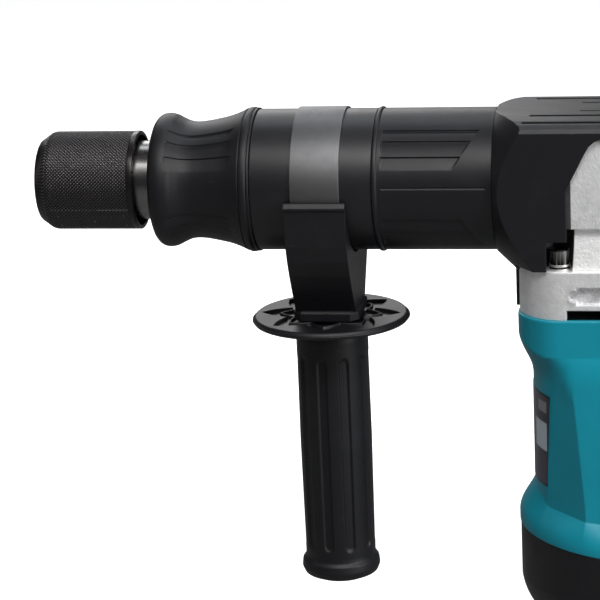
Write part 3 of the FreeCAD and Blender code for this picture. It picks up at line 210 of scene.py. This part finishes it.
def cast_metal(name, colour, grain, roughness):
    """Sand-blasted casting: a coarse pitted skin, a painted highlight on its edges, painted shade round the
    bolts and a smooth bright neck.
    """
    neck_top, neck_foot = -18.2, -39.2
    well_x, well_y, well_radius = 24.5, 32.5, 7.9
    look = Shader(name, colour, roughness, metallic=0.72)
    look.soften(0.9)
    x, y, z = look.place()
    neck = look.between(z, neck_foot, neck_top, 0.2, 0.4)
    rough_skin = look.math("SUBTRACT", 1.0, neck)
    pits = look.band(look.cells(520), 0.05, 0.5)
    skin = look.noise(330, 6, 0.72)
    mottle = look.math("MULTIPLY", look.band(look.noise(210, 6, 0.75), 0.42, 0.66), rough_skin)
    look.tint(mottle, (0.26, 0.26, 0.27), 0.7)
    specks = look.math("MULTIPLY", look.band(look.noise(900, 3, 0.7), 0.58, 0.72), rough_skin)
    look.tint(specks, (0.10, 0.10, 0.11), 0.6)
    # Painted highlight: pale colour on the outer edges where light catches them.
    look.tint(look.edges(), (0.95, 0.95, 0.95), 0.75)
    look.tint(neck, (1.0, 1.0, 0.99), 0.85)
    # Painted shade: a near-black disc on the flange round each bolt, where its well lies in shade.
    from_motor = look.math("ABSOLUTE", look.math("SUBTRACT", x, MOTOR_X * MM))
    along = look.math("SUBTRACT", from_motor, well_x * MM)
    across = look.math("SUBTRACT", look.math("ABSOLUTE", y), well_y * MM)
    squares = look.math("ADD", look.math("MULTIPLY", along, along), look.math("MULTIPLY", across, across))
    bolt_well_shade = look.band(look.math("SQRT", squares), well_radius * MM, (well_radius - 0.3) * MM)
    on_flange = look.band(z, -39.4 * MM, -39.2 * MM)
    look.tint(look.math("MULTIPLY", bolt_well_shade, on_flange), (0.02, 0.02, 0.022), 0.93)
    look.roughen(skin, 0.25)
    look.bump(skin, grain)
    look.bump(pits, grain * 0.6, 0.5)
    return look.done()


def satin_band():
    """Rolled steel strip, satin, with long wipe marks round the barrel."""
    look = Shader("band_metal", (0.15, 0.15, 0.153), 0.40, metallic=1.0)
    look.soften(0.3)
    smear = look.noise(40, 6, 0.7)
    look.roughen(look.noise(1700, 3, 0.6, stretch=(1, 0.08, 0.08)), 0.12)
    look.roughen(smear, 0.12)
    look.tint(look.band(smear, 0.45, 0.75), (0.08, 0.08, 0.083), 0.5)
    look.tint(look.band(look.noise(260, 5, 0.7), 0.62, 0.75), (0.26, 0.26, 0.26), 0.3)
    look.bump(look.noise(900, 4, 0.65), 0.015)
    return look.done()


def teal_shell():
    """Glass-filled teal plastic with a fine matt grain, slight scuffs and a painted highlight on its outer
    edges.
    """
    look = Shader("teal_shell", (0.002, 0.205, 0.275), 0.37, specular=0.30)
    look.soften(0.8)
    look.roughen(look.noise(80, 5, 0.65), 0.10)
    look.tint(look.band(look.noise(35, 5, 0.6), 0.4, 0.75), (0.005, 0.245, 0.32), 0.4)
    # Painted highlight: lighter teal on the outer edges where light catches them.
    look.tint(look.edges(0.53, 0.62), (0.05, 0.36, 0.42), 0.35)
    look.tint(look.band(look.noise(600, 3, 0.6, stretch=(0.2, 1, 1)), 0.70, 0.78), (0.05, 0.26, 0.31), 0.25)
    look.bump(look.noise(2400, 3, 0.6), 0.018)
    return look.done()


def knurled_steel():
    """Blackened steel with the oxide rubbed off the knurl's points."""
    look = Shader("knurled_steel", (0.035, 0.033, 0.034), 0.27, metallic=0.9)
    look.tint(look.edges(0.53, 0.60), (0.42, 0.40, 0.40), 0.6)
    look.tint(look.band(look.noise(120, 5, 0.7), 0.5, 0.7), (0.07, 0.055, 0.055), 0.4)
    look.roughen(look.noise(160, 4, 0.6), 0.12)
    look.bump(look.noise(1800, 3, 0.6), 0.008)
    return look.done()


def bolt_steel():
    """Blackened bolt steel with a painted highlight on its edges."""
    look = Shader("bolt_steel", (0.010, 0.009, 0.009), 0.30, metallic=0.9)
    look.soften(0.5)
    # Painted highlight: bright rims on the bolt heads' edges.
    look.tint(look.edges(0.53, 0.60), (0.75, 0.74, 0.72), 0.85)
    look.tint(look.band(look.noise(500, 4, 0.7), 0.55, 0.75), (0.05, 0.047, 0.045), 0.4)
    look.roughen(look.noise(300, 4), 0.12)
    return look.done()


def plain_label():
    """Dark foil with a black border, a fine mottle and plain pale fields, and no words."""
    left, top, foot = -30.8, -107.6, -155.2
    look = Shader("label_foil", (0.028, 0.025, 0.032), 0.30, specular=0.35)
    _, y, z = look.place()
    look.tint(look.band(look.noise(90, 5, 0.7), 0.4, 0.7), (0.07, 0.06, 0.075), 0.5)
    look.tint(look.band(z, -139 * MM, -154 * MM), (0.055, 0.045, 0.095), 0.6)
    field_across = look.between(y, left, -15.0, 0.3, 3.5)
    field = look.math("MULTIPLY", look.between(z, -137.2, -121.6, 0.6), field_across)
    look.tint(field, (0.42, 0.48, 0.53), 0.9)
    head_across = look.between(y, left, -21.0, 0.3, 1.0)
    head = look.math("MULTIPLY", look.between(z, -116.8, -110.4, 0.6), head_across)
    look.tint(head, (0.30, 0.30, 0.32), 0.55)
    slant = look.math("MULTIPLY", look.math("ADD", z, 106.8 * MM), -0.062)
    beside = look.band(look.math("ADD", slant, y), -32.8 * MM, -32.5 * MM)
    inside = look.math("MULTIPLY", look.between(z, foot, top, 0.3), beside)
    look.tint(look.math("SUBTRACT", 1.0, inside), (0.004, 0.004, 0.006))
    look.roughen(look.noise(300, 3), 0.1)
    look.bump(look.noise(900, 2), 0.006)
    return look.done()


MATERIALS = {
    "black_steel": steel("black_oxide", (0.035, 0.035, 0.037), 0.36),
    "bright_steel": steel("ground_steel", (0.58, 0.575, 0.56), 0.20),
    "band_steel": satin_band(),
    "black_paint": moulded("barrel_coat", (0.006, 0.006, 0.0075), 0.36, grain=0.012, specular=0.42),
    "black_rubber": moulded("rubber", (0.0045, 0.0046, 0.006), 0.42, grain=0.02, specular=0.34),
    "black_plastic": moulded("black_shell", (0.0045, 0.0045, 0.006), 0.38, grain=0.018, specular=0.36),
    "teal_plastic": teal_shell(),
    "cast_aluminium": cast_metal("cast_aluminium", (0.84, 0.84, 0.85), 0.24, 0.34),
    "copper": steel("enamelled_copper", (0.55, 0.22, 0.10), 0.32),
    "laminations": steel("laminations", (0.28, 0.28, 0.29), 0.45, scratch=(1, 1, 0.05)),
    "carbon": moulded("carbon", (0.015, 0.015, 0.015), 0.6),
    "nylon": moulded("nylon", (0.07, 0.07, 0.07), 0.5),
    "label": plain_label(),
    "knurl": knurled_steel(),
    "neck": steel("polished_neck", (0.20, 0.195, 0.19), 0.17),
    "bolt": bolt_steel(),
}
LOOKS = {"tool_holder": "neck", "bracket_bolts": "bolt"}

for row in frame["record"]["subparts"]:
    mesh_object = frame["nodes"][row["node"]]
    for index in range(max(1, len(mesh_object.material_slots))):
        if not mesh_object.material_slots:
            mesh_object.data.materials.append(None)
        mesh_object.material_slots[index].material = MATERIALS[LOOKS.get(row["node"], row["material_slot"])]


# ---------------------------------------------------------------- mesh helpers


def smoothstep(low, high, t):
    t = min(1.0, max(0.0, (t - low) / (high - low)))
    return t * t * (3 - 2 * t)


def finish_piece(name, solid, material, nodes, body="machine", crease=32.0):
    """Makes a piece from points and faces, shades it and ties it to the frame."""
    verts, faces = solid
    mesh = bpy.data.meshes.new(name)
    mesh.from_pydata([Vector(v) * MM for v in verts], [], faces)
    bm = bmesh.new()
    bm.from_mesh(mesh)
    bmesh.ops.remove_doubles(bm, verts=bm.verts, dist=1e-7)
    bmesh.ops.recalc_face_normals(bm, faces=bm.faces)
    bm.to_mesh(mesh)
    bm.free()
    mesh.shade_smooth()
    mesh.set_sharp_from_angle(angle=math.radians(crease))
    piece = bpy.data.objects.new(name, mesh)
    bpy.context.scene.collection.objects.link(piece)
    mesh.materials.append(MATERIALS[material])
    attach(piece, body)
    if nodes:
        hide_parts(*nodes)
    return piece


def resampled(profile, step):
    """Splits the long sides of a profile so that it can be sunk or ribbed."""
    points = []
    for (a, r), (next_a, next_r) in zip(profile, profile[1:]):
        count = max(1, math.ceil(math.hypot(next_a - a, next_r - r) / step))
        points += [(a + (next_a - a) * k / count, r + (next_r - r) * k / count) for k in range(count)]
    return points + [profile[-1]]


def rounded_profile(corners, radius, steps=5):
    """Rounds the corners of a closed (along, radius) profile; each corner may give its own radius."""
    out = []
    count = len(corners)
    for i in range(count):
        here = Vector(corners[i][:2])
        before, after = Vector(corners[i - 1][:2]), Vector(corners[(i + 1) % count][:2])
        wanted = corners[i][2] if len(corners[i]) > 2 else radius
        back, ahead = before - here, after - here
        half = back.angle(ahead) / 2
        reach = min(wanted / max(math.tan(half), 1e-6), 0.45 * back.length, 0.45 * ahead.length)
        if wanted <= 0 or reach < 1e-3 or half > 1.55:
            out.append(tuple(here))
            continue
        start, end = here + back.normalized() * reach, here + ahead.normalized() * reach
        for k in range(steps + 1):
            t = k / steps
            out.append(tuple(start * (1 - t) ** 2 + here * 2 * t * (1 - t) + end * t**2))
    return out


def ring_faces(rows, columns):
    """Faces of a grid of points that closes on itself both ways."""
    faces = []
    for i in range(rows):
        for k in range(columns):
            next_row, after = (i + 1) % rows * columns, (k + 1) % columns
            faces.append((i * columns + k, i * columns + after, next_row + after, next_row + k))
    return faces


def lathe(profile, segments, shape=None, axis="X"):
    """Turns a closed profile about X or about Z. shape(a, r, angle) gives each point's radius.

    The angle is measured from the near side (-Y) up on X, and from the front (-X) to the near side on Z.
    """
    verts = []
    for a, r in profile:
        for k in range(segments):
            angle = 2 * math.pi * k / segments
            radius = shape(a, r, angle) if shape else r
            cosine, sine = radius * math.cos(angle), radius * math.sin(angle)
            verts.append((a, -cosine, sine) if axis == "X" else (-cosine, -sine, a))
    return verts, ring_faces(len(profile), segments)


def catmull_rom(t, before, start, end, after):
    """A number between start and end on the smooth curve through four numbers."""
    square = 2 * before - 5 * start + 4 * end - after
    cube = 3 * start - before - 3 * end + after
    return 0.5 * (2 * start + (end - before) * t + square * t**2 + cube * t**3)


def spline(points, step):
    """A Catmull-Rom curve through (along, radius) points."""
    out = []
    ends = [points[0], *points, points[-1]]
    for before, start, end, after in zip(ends, ends[1:], ends[2:], ends[3:]):
        count = max(2, math.ceil((end[0] - start[0]) / step))
        for k in range(count):
            out.append(tuple(catmull_rom(k / count, *four) for four in zip(before, start, end, after)))
    return out + [points[-1]]


def wrapped(angle):
    """The angle above the horizontal on either side, so that both sides are alike."""
    angle = (math.degrees(angle) + 180) % 360 - 180
    if angle > 90:
        return 180 - angle
    if angle < -90:
        return -180 - angle
    return angle


def terrace(angle, strips):
    """Height lost to a set of saw-tooth strips: deep at each strip's upper edge, flush at its lower one."""
    slope, turn_back = 1.05, 0.955
    for low, high in strips:
        if low <= angle <= high:
            t = (angle - low) / (high - low)
            return t * slope if t < turn_back else slope * turn_back * (1 - t) / (1 - turn_back)
    return 0.0


def run(x, start, rise, end, fall):
    """1 along a groove's length, fading in after its start and out before its end."""
    return smoothstep(start, start + rise, x) * (1 - smoothstep(end - fall, end, x))


# ---------------------------------------------------------------- chuck


def chuck_sleeve():
    """Sleeve with a diamond knurl cut into it, smooth at its rounded nose and its open rear rim."""
    around, pitch, depth = 88, 1.85, 0.5
    knurl_start, knurl_end = 6.0, 51.0
    radius, rows = 25.7, 168
    corners = [
        (0.5, 14.65, 0.2), (0.5, 21.0, 2.2), (8.8, radius, 7.0), (53.6, radius, 1.2), (53.6, 23.8, 0.4),
    ]
    outer = rounded_profile(corners, 1, 8)
    nose = [p for p in outer if p[0] < 6.5]
    straight = [(6.5 + (knurl_end - 6.5) * k / rows, radius) for k in range(rows + 1)]
    for i, (x, _) in enumerate(straight):
        if x < 9.0:
            straight[i] = (x, 24.95 + 0.75 * smoothstep(5.5, 9.0, x))
    rear = [p for p in outer if p[0] > 51.2]
    inside = [(41, 23.8), (41, 19.6), (30, 19.6), (30, 14.6), (4.5, 14.65)]

    def knurl(x, r, angle):
        if r < 24.4 or x < knurl_start or x > knurl_end:
            return r
        turn = around * angle / (2 * math.pi)
        one_way, other_way = (turn + x / pitch) % 1, (turn - x / pitch) % 1
        height = min(1 - abs(2 * one_way - 1), 1 - abs(2 * other_way - 1))
        fade = run(x, knurl_start, 1.0, knurl_end, 0.8)
        return r - depth * (1 - min(height * 1.25, 0.9) / 0.9) * fade

    solid = lathe(nose + straight + rear + inside, around * 6, knurl)
    return finish_piece("knurled_sleeve", solid, "knurl", ["chuck_sleeve"], "chuck_sleeve", 60)


# ---------------------------------------------------------------- barrel


def front_grip():
    """Waisted rubber grip with lengthwise slats in its waist and two thin rings on its rear bead."""
    skin = spline(
        [
            (62.4, 28.5), (63.4, 31.6), (65.8, 34.1), (69.3, 34.9), (72.8, 34.2), (76.0, 32.6), (80.0, 30.9),
            (84.5, 30.3), (90.0, 30.8), (96.0, 31.9), (102.0, 33.3), (107.0, 35.1), (110.2, 36.6),
        ],
        0.5,
    )
    bead = [
        (110.8, 36.9), (111.2, 36.4), (111.7, 37.1), (112.6, 37.5), (114.4, 37.5),
        (115.0, 37.2), (115.4, 36.8), (115.8, 37.2), (116.6, 37.1), (116.9, 36.7),
    ]
    inside = [(116.9, 27.1), (64.9, 27.1), (64.9, 20.9), (62.35, 20.9), (62.35, 28.0)]
    upper = ((48.0, 61.0), (33.0, 48.0), (20.0, 33.0))
    lower = ((-34.0, -22.0), (-48.0, -34.0))

    def slats(x, r, angle):
        if r < 29:
            return r
        above = wrapped(angle)
        window = run(x, 71.6, 1.2, 108.0, 4.0)
        return r - 0.85 * window * (terrace(above, upper) + 0.8 * terrace(above, lower))

    solid = lathe(skin + bead + inside, 720, slats)
    return finish_piece("waisted_grip", solid, "black_rubber", ["front_grip_cover"], crease=35)


def barrel_tube():
    """Smooth coated barrel between the front grip and the seam, and the thinner length inside the jacket."""
    corners = [
        (117.0, 27.2, 0), (117.0, BARREL_RADIUS, 0.6), (179.6, BARREL_RADIUS, 0.3), (179.6, 33.5, 0),
        (248.9, 33.5, 0.3), (248.9, 27.2, 0),
    ]
    return finish_piece("barrel_tube", lathe(rounded_profile(corners, 0.3), 360), "black_paint", ["barrel"])


def rear_cover():
    """Jacket with a bead at the seam, sunk slats whose ends slant, and a single thin line between them."""
    bead = [
        (179.85, 33.6), (179.85, 36.6), (180.1, 37.1), (180.7, 37.3), (181.4, 37.3), (182.0, 37.0),
        (182.3, 36.5),
    ]
    start, end, rows = 182.6, 240.3, 230
    flat = [(start + (end - start) * k / rows, BARREL_RADIUS) for k in range(rows + 1)]
    upper = ((44, 55), (30, 44), (19, 30))
    lower = ((-34, -22), (-46, -34), (-57, -46))
    line_turn, line_half_width = 4.6, 1.0

    def slats(x, r, angle):
        if r != BARREL_RADIUS:
            return r
        above = wrapped(angle)
        sunk = 0.0
        if 17 < above < 57:
            sunk = terrace(above, upper) * run(x, 183.9, 0.6, 234.0 - (55 - above) * 0.37, 0.5)
        elif -60 < above < -20:
            sunk = 0.8 * terrace(above, lower) * run(x, 183.9, 0.6, 224.0 + (-22 - above) * 0.36, 0.5)
        elif abs(above - line_turn) < line_half_width:
            sunk = 0.55 * (line_half_width - abs(above - line_turn)) * run(x, 184.0, 1.5, 238.0, 1.5)
        return r - max(0.0, sunk)

    solid = lathe(bead + flat + [(240.55, 36.2), (240.55, 33.6)], 1080, slats)
    return finish_piece("rear_jacket", solid, "black_plastic", ["rear_barrel_cover"], crease=28)


def band():
    """Steel strip round the barrel. Its lug is out of sight in the saddle."""
    corners = [(138.1, 36.6, 0), (138.1, 37.55, 0.35), (163.3, 37.55, 0.35), (163.3, 36.6, 0)]
    solid = lathe(rounded_profile(corners, 0.3, 4), 360)
    return finish_piece("clamp_strip", solid, "band_steel", ["band_clamp"], "side_handle", crease=40)


# ---------------------------------------------------------------- side handle


def side_grip():
    """Fluted grip: narrower throat under the guard, ten round-ended flutes and a rolled end with a dome."""
    flutes, depth, half_width, fade = 10, 1.15, 1.9, 1.1
    skin = [
        (-76.0, 8.2, 0), (-76.0, 18.0, 0.8), (-80.2, 16.6, 0.6), (-80.9, 18.6, 0.9), (-84.0, 18.9, 3),
        (-140, 19.2, 30), (-203.5, 18.6, 3), (-205.5, 18.9, 1.5), (-207.2, 20.4, 1.2), (-211.0, 20.9, 3),
        (-214.3, 19.6, 2), (-216.9, 14.0, 4),
    ]
    bore = [(-216.9, 0.05, 0), (-150, 0.05, 0), (-150, 5.0, 0), (-116, 5.0, 0), (-116, 8.2, 0)]
    outline = resampled(rounded_profile(skin + bore, 1, 5), 0.9)
    spacing = 360 / flutes

    def flute(z, r, angle):
        if r < 17.5 or z > -90 or z < -202:
            return r
        across = abs((math.degrees(angle) / spacing + 0.28) % 1 - 0.5) * spacing * math.pi / 180 * r
        along = max(0.0, -196 - z, z + 95.5)
        reach = math.hypot(across, along * 0.9)
        return r - depth * (1 - smoothstep(half_width, half_width + fade, reach))

    verts, faces = lathe(outline, 480, flute, axis="Z")
    solid = [(x + HANDLE_X, y, z) for x, y, z in verts], faces
    return finish_piece("fluted_grip", solid, "black_rubber", ["side_grip"], "side_grip", crease=40)


def hand_guard():
    """Disc with a rolled rim and an eight-pointed star sunk round the hub, with a thin zigzag wall in it."""
    points, segments, rows = 8, 720, 110
    hub, rim = 10.1, 41.3
    top, low = -71.7, -75.7

    def star(angle, tip, valley):
        t = abs((math.degrees(angle) * points / 360) % 1 - 0.5) * 2
        return tip + (valley - tip) * (1 - t)

    def height(r, angle):
        edge = smoothstep(38.6, rim, r)
        outer, inner = star(angle, 36.5, 23.5), star(angle, 26.5, 19.5)
        sunk = 1.9 * (1 - smoothstep(outer - 0.35, outer + 0.35, r)) * smoothstep(15.0, 15.8, r)
        wall = 1.6 * (1 - smoothstep(0.45, 0.85, abs(r - inner)))
        return top - edge * edge * 1.8 - max(0.0, sunk - wall)

    face = [(hub + (rim - hub) * k / rows, None) for k in range(rows + 1)]
    under = [(41.38, -74.0), (40.4, -75.3), (38.6, low), (hub, low)]
    verts = []
    for r, z in face + under:
        for k in range(segments):
            angle = 2 * math.pi * k / segments
            level = height(r, angle) if z is None else z
            verts.append((HANDLE_X - r * math.cos(angle), -r * math.sin(angle), level))
    solid = verts, ring_faces(len(face) + len(under), segments)
    return finish_piece("star_guard", solid, "black_plastic", ["hand_guard"], "side_handle", crease=30)


# ---------------------------------------------------------------- motor


COLLAR_TOP = -64.6
FLARE_RADIUS = 50.25
BRUSH_TURN = 25
BRUSH_Z = -161.0


def parting(x):
    """Height of the slanted joint under the motor housing."""
    return -182.0 - 0.143 * (x - 250.0)


def waist_radius(turn, near, z):
    """Plan of the waist about the motor's axis, at a turn in degrees from its front to its side.

    A broad column stands in front and a flat panel at the side. On the near side a sunk facet divides them.
    """
    column_radius, column_back = 56.0, 14.3
    panel_y, rear_radius, blend = 43.3, 43.5, 0.9
    facet_turn, facet_cos, facet_sin, facet_y = 55, 0.5736, 0.8192, 42.6
    a = math.radians(turn)
    column = -column_back * math.cos(a) + math.sqrt(column_radius**2 - (column_back * math.sin(a)) ** 2)
    if turn > 118:
        return rear_radius
    panel = panel_y / max(math.sin(a), 0.4)
    if turn > 92:
        return panel + (rear_radius - panel) * smoothstep(98, 118, turn)
    flush = -math.log(math.exp(-blend * column) + math.exp(-blend * panel)) / blend
    if not near:
        return flush
    edge = 19.0 - 5.0 * min(1.0, max(0.0, (-104 - z) / 60))
    facet = (facet_cos * edge + facet_sin * facet_y) / max(math.cos(math.radians(turn - facet_turn)), 0.3)
    return flush - max(0.0, flush - facet) * smoothstep(-95, -109, z)


def collar_radius(turn):
    """Plan of the square collar: a rounded rectangle seen from its middle."""
    half_x, half_y, corner = 47.2, 40.8, 22.0
    a = math.radians(turn)
    cosine, sine = abs(math.cos(a)), math.sin(a)
    edge = min(half_x / max(cosine, 1e-6), half_y / max(sine, 1e-6))
    along, across = half_x - corner, half_y - corner
    if edge * cosine > along and edge * sine > across:
        dot = cosine * along + sine * across
        edge = dot + math.sqrt(dot * dot - along * along - across * across + corner * corner)
    return edge


def motor_radius(turn, near, z, crease=-400, floor=-401):
    """Outer radius of the motor housing at a turn and height. Below the crease it flares out to the floor."""
    side = smoothstep(20, 52, turn)
    start, end = -74 - 10 * side, -102 + 3 * side
    t = min(1.0, max(0.0, (start - z) / (start - end)))
    blend = (1 - side) * t * t * (3 - 2 * t) + side * (1 - (1 - t) ** 2)
    radius = collar_radius(turn) + (waist_radius(turn, near, z) - collar_radius(turn)) * blend
    if z < crease:
        t = min(1.0, (crease - z) / (crease - floor))
        front = smoothstep(0.02, 0.80, t)
        flank = math.sin(math.pi / 2 * min(1.0, t / 0.9)) ** 0.9
        radius += (FLARE_RADIUS - radius) * ((1 - side) * front + side * flank)
    return radius


def on_motor(radius, angle, z):
    """A point at a radius and angle about the motor's axis, from its front to the near side."""
    return MOTOR_X - radius * math.cos(angle), -radius * math.sin(angle), z


def folded(angle):
    """Turn from the front in degrees (0 to 180) and whether the point is on the near side."""
    degrees = math.degrees(angle) % 360
    return (degrees, True) if degrees <= 180 else (360 - degrees, False)


def motor_column(angle):
    """One column of the motor housing: its turn, side, crease, floor and the heights above the crease."""
    turn, near = folded(angle)
    floor = parting(MOTOR_X - 46 * math.cos(angle)) + 0.35
    crease = floor + 16.2 + 9.5 * (1 - smoothstep(18, 46, turn))
    collar = [COLLAR_TOP, -65.0, -65.5] + [-66 - 1.0 * k for k in range(18)]
    waist = [-84 - 0.7 * k for k in range(93)]
    return angle, turn, near, crease, floor, [z for z in collar + waist if z > crease + 0.8]


def motor_shell():
    """Motor housing with its collar, front column, near-side facet, side panels and flared foot."""
    segments, wall = 540, 2.6
    crease_rows, flare_rows = 14, 46
    columns = [motor_column(2 * math.pi * k / segments) for k in range(segments)]
    rows = min(len(heights) for *_, heights in columns)
    verts = []
    for angle, turn, near, crease, floor, heights in columns:
        kept = heights[:rows]
        gap = kept[-1] - crease
        kept += [kept[-1] - gap * k / crease_rows for k in range(1, crease_rows + 1)]
        kept += [crease + (floor - crease) * k / flare_rows for k in range(1, flare_rows + 1)]
        outer = [(motor_radius(turn, near, z, crease, floor), z) for z in kept]
        foot = outer[-1][0]
        for row, rounding in ((0, 0.5), (1, 0.15), (-1, 0.25)):
            outer[row] = (outer[row][0] - rounding, outer[row][1])
        inner = [(r - wall, z) for r, z in reversed(outer[2:-4:6])]
        ring = outer + [(foot - wall, floor)] + inner + [(outer[0][0] - wall, COLLAR_TOP)]
        verts += [on_motor(r, angle, z) for r, z in ring]
    solid = verts, ring_faces(segments, len(ring))
    return finish_piece("motor_shell", solid, "teal_plastic", ["motor_housing"], crease=24)


def brush_boss(side):
    """Round boss that stands proud of the motor housing round each brush cap."""
    inner, outer, start, end = 9.2, 12.0, 38.0, 46.1
    corners = [(start, inner, 0), (end, inner, 0.5), (end, outer, 0.8), (start, outer, 0)]
    verts, faces = lathe(rounded_profile(corners, 0.5, 4), 96)
    turn = math.radians(BRUSH_TURN)
    out = Vector((-math.sin(turn) * side, math.cos(turn) * side, 0))
    across = Vector((out.y, -out.x, 0))
    placed = [out * a + across * y + Vector((MOTOR_X, 0, BRUSH_Z + z)) for a, y, z in verts]
    name = "brush_boss_far" if side > 0 else "brush_boss_near"
    return finish_piece(name, (placed, faces), "teal_plastic", [], crease=40)


def label():
    """Thin foil wrapped round the front column, a little narrower at its foot."""
    steps, rows = 96, 80
    top, tall = -106.8, 49.2
    turn_at_top, narrowing = 47.0, 5.0
    verts = []
    for lift in (0.32, -0.25):
        for k in range(steps + 1):
            for i in range(rows + 1):
                z = top - tall * i / rows
                degrees = (turn_at_top - narrowing * i / rows) * (2 * k / steps - 1)
                radius = motor_radius(abs(degrees), degrees >= 0, z) + lift
                verts.append(on_motor(radius, math.radians(degrees), z))
    down, layer = rows + 1, (steps + 1) * (rows + 1)
    faces = []
    for k in range(steps):
        for i in range(rows):
            a, b = k * down + i, (k + 1) * down + i
            faces.append((a, a + 1, b + 1, b))
            faces.append((layer + a, layer + b, layer + b + 1, layer + a + 1))
    top_and_far = [k * down for k in range(steps + 1)] + [steps * down + i for i in range(1, down)]
    foot_and_back = [k * down + rows for k in range(steps - 1, -1, -1)] + list(range(rows - 1, 0, -1))
    rim = top_and_far + foot_and_back
    for a, b in zip(rim, rim[1:] + rim[:1]):
        faces.append((a, b, layer + b, layer + a))
    return finish_piece("label_foil", (verts, faces), "label", ["rating_label"], crease=40)


chuck_sleeve()
front_grip()
barrel_tube()
rear_cover()
band()
side_grip()
hand_guard()
motor_shell()
brush_boss(-1)
brush_boss(1)
label()


# ---------------------------------------------------------------- studio


def softbox(name, centre, aim, size, power, colour=(1, 1, 1)):
    """A rectangular lamp at a centre, turned to its aim."""
    light = bpy.data.lights.new(name, "AREA")
    light.shape = "RECTANGLE"
    light.size, light.size_y = size[0] * MM, size[1] * MM
    light.energy = power
    light.color = colour
    lamp = bpy.data.objects.new(name, light)
    lamp.location = Vector(centre) * MM
    lamp.rotation_euler = (Vector(aim) - Vector(centre)).to_track_quat("-Z", "Y").to_euler()
    bpy.context.scene.collection.objects.link(lamp)
    return lamp


AIM = (180, 0, -20)


def polar(azimuth, elevation, distance):
    """A point at a distance from the aim, at an azimuth from -Y towards +X and an elevation."""
    a, e = math.radians(azimuth), math.radians(elevation)
    return (
        AIM[0] + distance * math.sin(a) * math.cos(e),
        AIM[1] - distance * math.cos(a) * math.cos(e),
        AIM[2] + distance * math.sin(e),
    )


softbox("key_box", polar(30, 50, 1150), AIM, (1300, 330), 12.0)
softbox("barrel_strip", polar(-12, 53, 1100), AIM, (900, 170), 3.2)
softbox("top_strip", polar(170, 62, 1200), AIM, (1500, 260), 5.6, (0.92, 0.95, 1.0))
softbox("left_fill", polar(-78, 20, 1300), AIM, (260, 900), 0.8)
softbox("front_fill", polar(62, 14, 1500), (260, 0, -110), (420, 900), 15.0)
softbox("back_fill", polar(200, 25, 1500), AIM, (900, 500), 6.0)

world = bpy.data.worlds.new("studio")
bpy.context.scene.world = world
world.use_nodes = True
sky = world.node_tree.nodes["Background"]
room = world.node_tree.nodes.new("ShaderNodeBackground")
chosen = world.node_tree.nodes.new("ShaderNodeMixShader")
rays = world.node_tree.nodes.new("ShaderNodeLightPath")
sky.inputs["Color"].default_value, sky.inputs["Strength"].default_value = (1, 1, 1, 1), 1.0
room.inputs["Color"].default_value, room.inputs["Strength"].default_value = (0.95, 0.97, 1, 1), 0.05
world.node_tree.links.new(rays.outputs["Is Camera Ray"], chosen.inputs["Fac"])
world.node_tree.links.new(room.outputs[0], chosen.inputs[1])
world.node_tree.links.new(sky.outputs[0], chosen.inputs[2])
world.node_tree.links.new(chosen.outputs[0], world.node_tree.nodes["World Output"].inputs["Surface"])

floor_mesh = bpy.data.meshes.new("floor")
floor_half, floor_z = 40000, -241
corners = [(x * floor_half, y * floor_half, floor_z) for x, y in ((-1, -1), (1, -1), (1, 1), (-1, 1))]
floor_mesh.from_pydata([Vector(corner) * MM for corner in corners], [], [(0, 1, 2, 3)])
floor = bpy.data.objects.new("floor", floor_mesh)
bpy.context.scene.collection.objects.link(floor)
paper = Shader("floor_paper", (0.5, 0.5, 0.5), 0.9, specular=0.1)
seen = paper.node("ShaderNodeLightPath").outputs["Is Camera Ray"]
paper.bsdf.inputs["Emission Color"].default_value = (1, 1, 1, 1)
glow = paper.math("ADD", paper.math("MULTIPLY", seen, 0.85), 0.04)
paper.link(glow, paper.bsdf.inputs["Emission Strength"])
paper.colour = paper.rgb((0.2, 0.2, 0.2))
paper.tint(seen, (0.8, 0.8, 0.8))
paper.roughen(paper.noise(20), 0.05)
floor_mesh.materials.append(paper.done())

# ---------------------------------------------------------------- camera

target = Vector((134.4, 0, -65.1)) * MM
distance = 1439 * MM
azimuth, elevation, roll = (math.radians(a) for a in (10.32, 15.26, -2.57))
side = Vector((math.cos(azimuth), math.sin(azimuth), 0))
away = Vector((math.sin(azimuth), -math.cos(azimuth), 0))
back = math.cos(elevation) * away + Vector((0, 0, math.sin(elevation)))
level_up = back.cross(side)
right = math.cos(roll) * side + math.sin(roll) * level_up
up = -math.sin(roll) * side + math.cos(roll) * level_up
lens = bpy.data.cameras.new("camera")
lens.sensor_width = 36
lens.lens = 164.6
camera = bpy.data.objects.new("camera", lens)
turned = Matrix((right, up, back)).transposed().to_4x4()
camera.matrix_world = Matrix.Translation(target + back * distance) @ turned
bpy.context.scene.collection.objects.link(camera)
bpy.context.scene.camera = camera
bpy.context.scene.view_settings.view_transform = "Standard"
